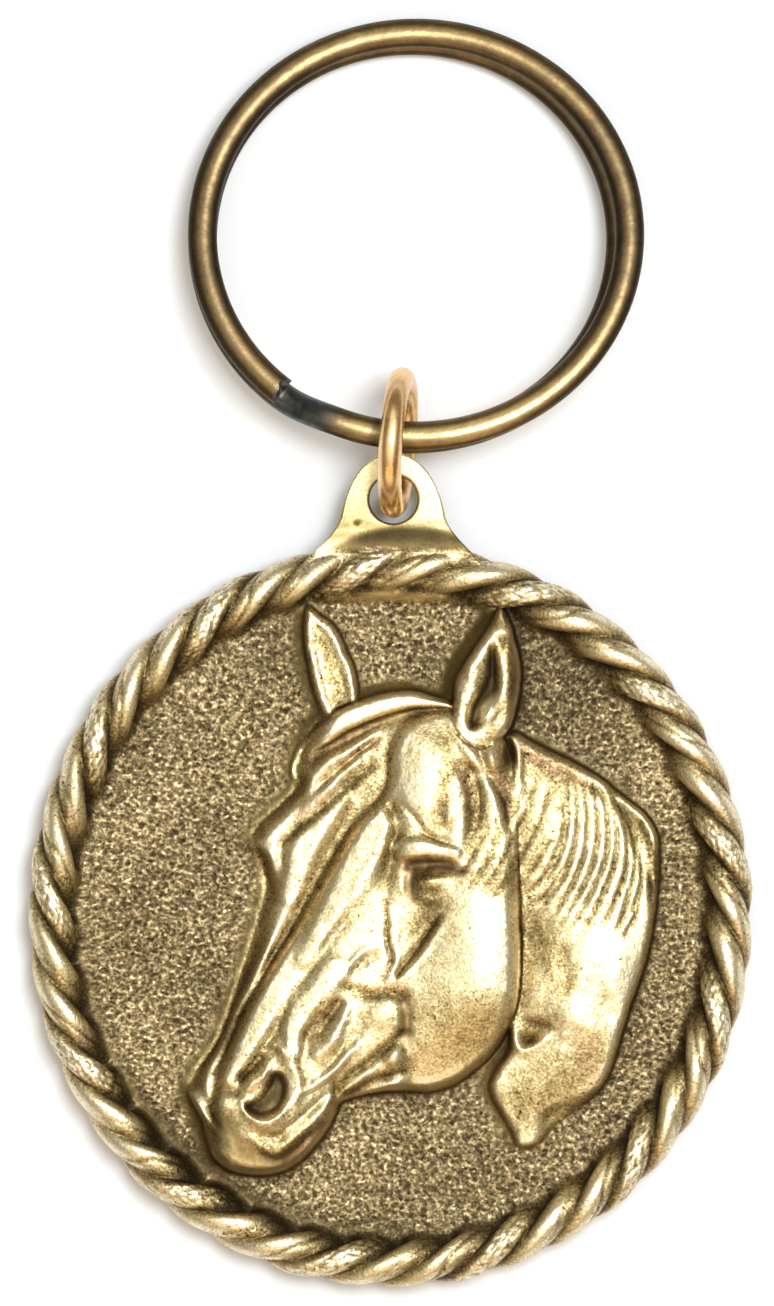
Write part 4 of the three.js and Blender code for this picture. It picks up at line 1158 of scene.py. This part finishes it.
def ring_material():
    n = Nodes("antiqued_steel_wire")
    tc = n.add('TexCoord').outputs['Object']
    wear_and_painted_light = n.add('Attribute', {'attribute_name': 'wear_and_painted_light'})
    sep = n.add('SeparateColor', None, _0=wear_and_painted_light.outputs['Color'])
    steel, side, lower = sep.outputs[0], sep.outputs[1], sep.outputs[2]
    big = n.noise(tc, 160.0, 3.0)
    mid = n.noise(tc, 1100.0, 4.0, 0.65)
    fine = n.noise(tc, 5000.0, 2.0)
    # darker on the wire's flanks as painted shade, plus the fourth channel's painted light and shade along the ring,
    # with noise
    p = n.math('ADD', n.math('MULTIPLY', side, 0.42), n.math('MULTIPLY', n.math('SUBTRACT', big, 0.5), 0.35))
    p = n.math('ADD', p, n.math('MULTIPLY', n.math('SUBTRACT', mid, 0.5), 0.45))
    p = n.math('ADD', n.math('ADD', p, n.stretch(wear_and_painted_light.outputs['Alpha'], -1.0, 1.3, 0.28, 0.72)), n.math('MULTIPLY', n.math('SUBTRACT', fine, 0.5), 0.2), clamp=True)
    col = n.ramp(p, [(0.0, (0.62, 0.48, 0.245)), (0.3, (0.41, 0.298, 0.138)), (0.55, (0.215, 0.152, 0.072)), (0.8, (0.100, 0.073, 0.040)), (1.0, (0.048, 0.036, 0.023))])
    st = n.ramp(mid, [(0.3, (0.055, 0.065, 0.072)), (0.7, (0.17, 0.19, 0.20))])
    mix = n.add('Mix', {'data_type': 'RGBA'})
    n.put(mix.inputs[0], n.math('MULTIPLY', steel, 1.0, clamp=True))
    n.put(mix.inputs[6], col)
    n.put(mix.inputs[7], st)
    n.put(n.bsdf.inputs['Base Color'], mix.outputs[2])
    n.bsdf.inputs['Metallic'].default_value = 1.0
    n.put(n.bsdf.inputs['Roughness'], n.stretch(p, 0.0, 1.0, 0.20, 0.42))
    n.put(n.bsdf.inputs['Normal'], n.add('Bump', None, Strength=0.7, Distance=0.00002, Height=n.math('ADD', mid, n.math('MULTIPLY', fine, 0.5))))
    return n.mat


def floor_material():
    n = Nodes("pale_floor")
    tc = n.add('TexCoord').outputs['Object']
    col = n.ramp(n.noise(tc, 60.0, 3.0), [(0.3, (0.78, 0.825, 0.895)), (0.7, (0.81, 0.855, 0.925))])
    n.put(n.bsdf.inputs['Base Color'], col)
    n.bsdf.inputs['Roughness'].default_value = 0.7
    return n.mat


# ---------------------------------------------------------------------- pieces
finish_piece(medallion_piece(), "medallion", brass_material())
finish_piece(jump_ring_piece(), "jump_ring", copper_material())
finish_piece(split_ring_piece(), "split_ring", ring_material())

# ----------------------------------------------------------------- floor, light
me = bpy.data.meshes.new("floor")
me.from_pydata([(-2, -2, -0.0001), (2, -2, -0.0001), (2, 2, -0.0001), (-2, 2, -0.0001)], [], [(0, 1, 2, 3)])
floor = bpy.data.objects.new("floor", me)
bpy.context.scene.collection.objects.link(floor)
me.materials.append(floor_material())

AIM = (-0.00019, 0.01426, 0.0)


def area(name, place, size, radiance, colour=(1, 1, 1), size_y=None):
    """A soft light of the given radiance, turned to the object."""
    d = bpy.data.lights.new(name, 'AREA')
    d.shape = 'RECTANGLE'
    d.size, d.size_y = size, size_y or size
    d.energy = radiance * math.pi * d.size * d.size_y
    d.color = colour
    ob = bpy.data.objects.new(name, d)
    ob.location = place
    v = Vector(AIM) - ob.location
    ob.rotation_euler = v.to_track_quat('-Z', 'Y').to_euler()
    ob.visible_camera = False
    bpy.context.scene.collection.objects.link(ob)
    return ob


area("softbox", (0.15, 0.12, 0.74), 0.25, 20.0)
area("ceiling", (0.05, 0.10, 0.95), 1.6, 1.0, (1.0, 0.96, 0.88))
area("warm_card", (-0.04, -0.52, 0.40), 0.8, 1.5, (1.0, 0.66, 0.36), 0.3)

world = bpy.data.worlds.new("studio")
bpy.context.scene.world = world
world.use_nodes = True
bg = world.node_tree.nodes.get("Background") or world.node_tree.nodes.new("ShaderNodeBackground")
bg.inputs[0].default_value = (0.27, 0.232, 0.165, 1)
bg.inputs[1].default_value = 1.0
if not bg.outputs[0].links:
    out = world.node_tree.nodes.get("World Output") or world.node_tree.nodes.new("ShaderNodeOutputWorld")
    world.node_tree.links.new(bg.outputs[0], out.inputs[0])

cam = bpy.data.cameras.new("camera")
cam.sensor_fit = 'VERTICAL'
cam.sensor_height = 36.0
cam.lens = 302.7
cam.clip_start, cam.clip_end = 0.01, 20
camera = bpy.data.objects.new("camera", cam)
camera.location = (AIM[0], AIM[1], 0.6)
bpy.context.scene.collection.objects.link(camera)
bpy.context.scene.camera = camera
bpy.context.scene.view_settings.view_transform = 'Standard'
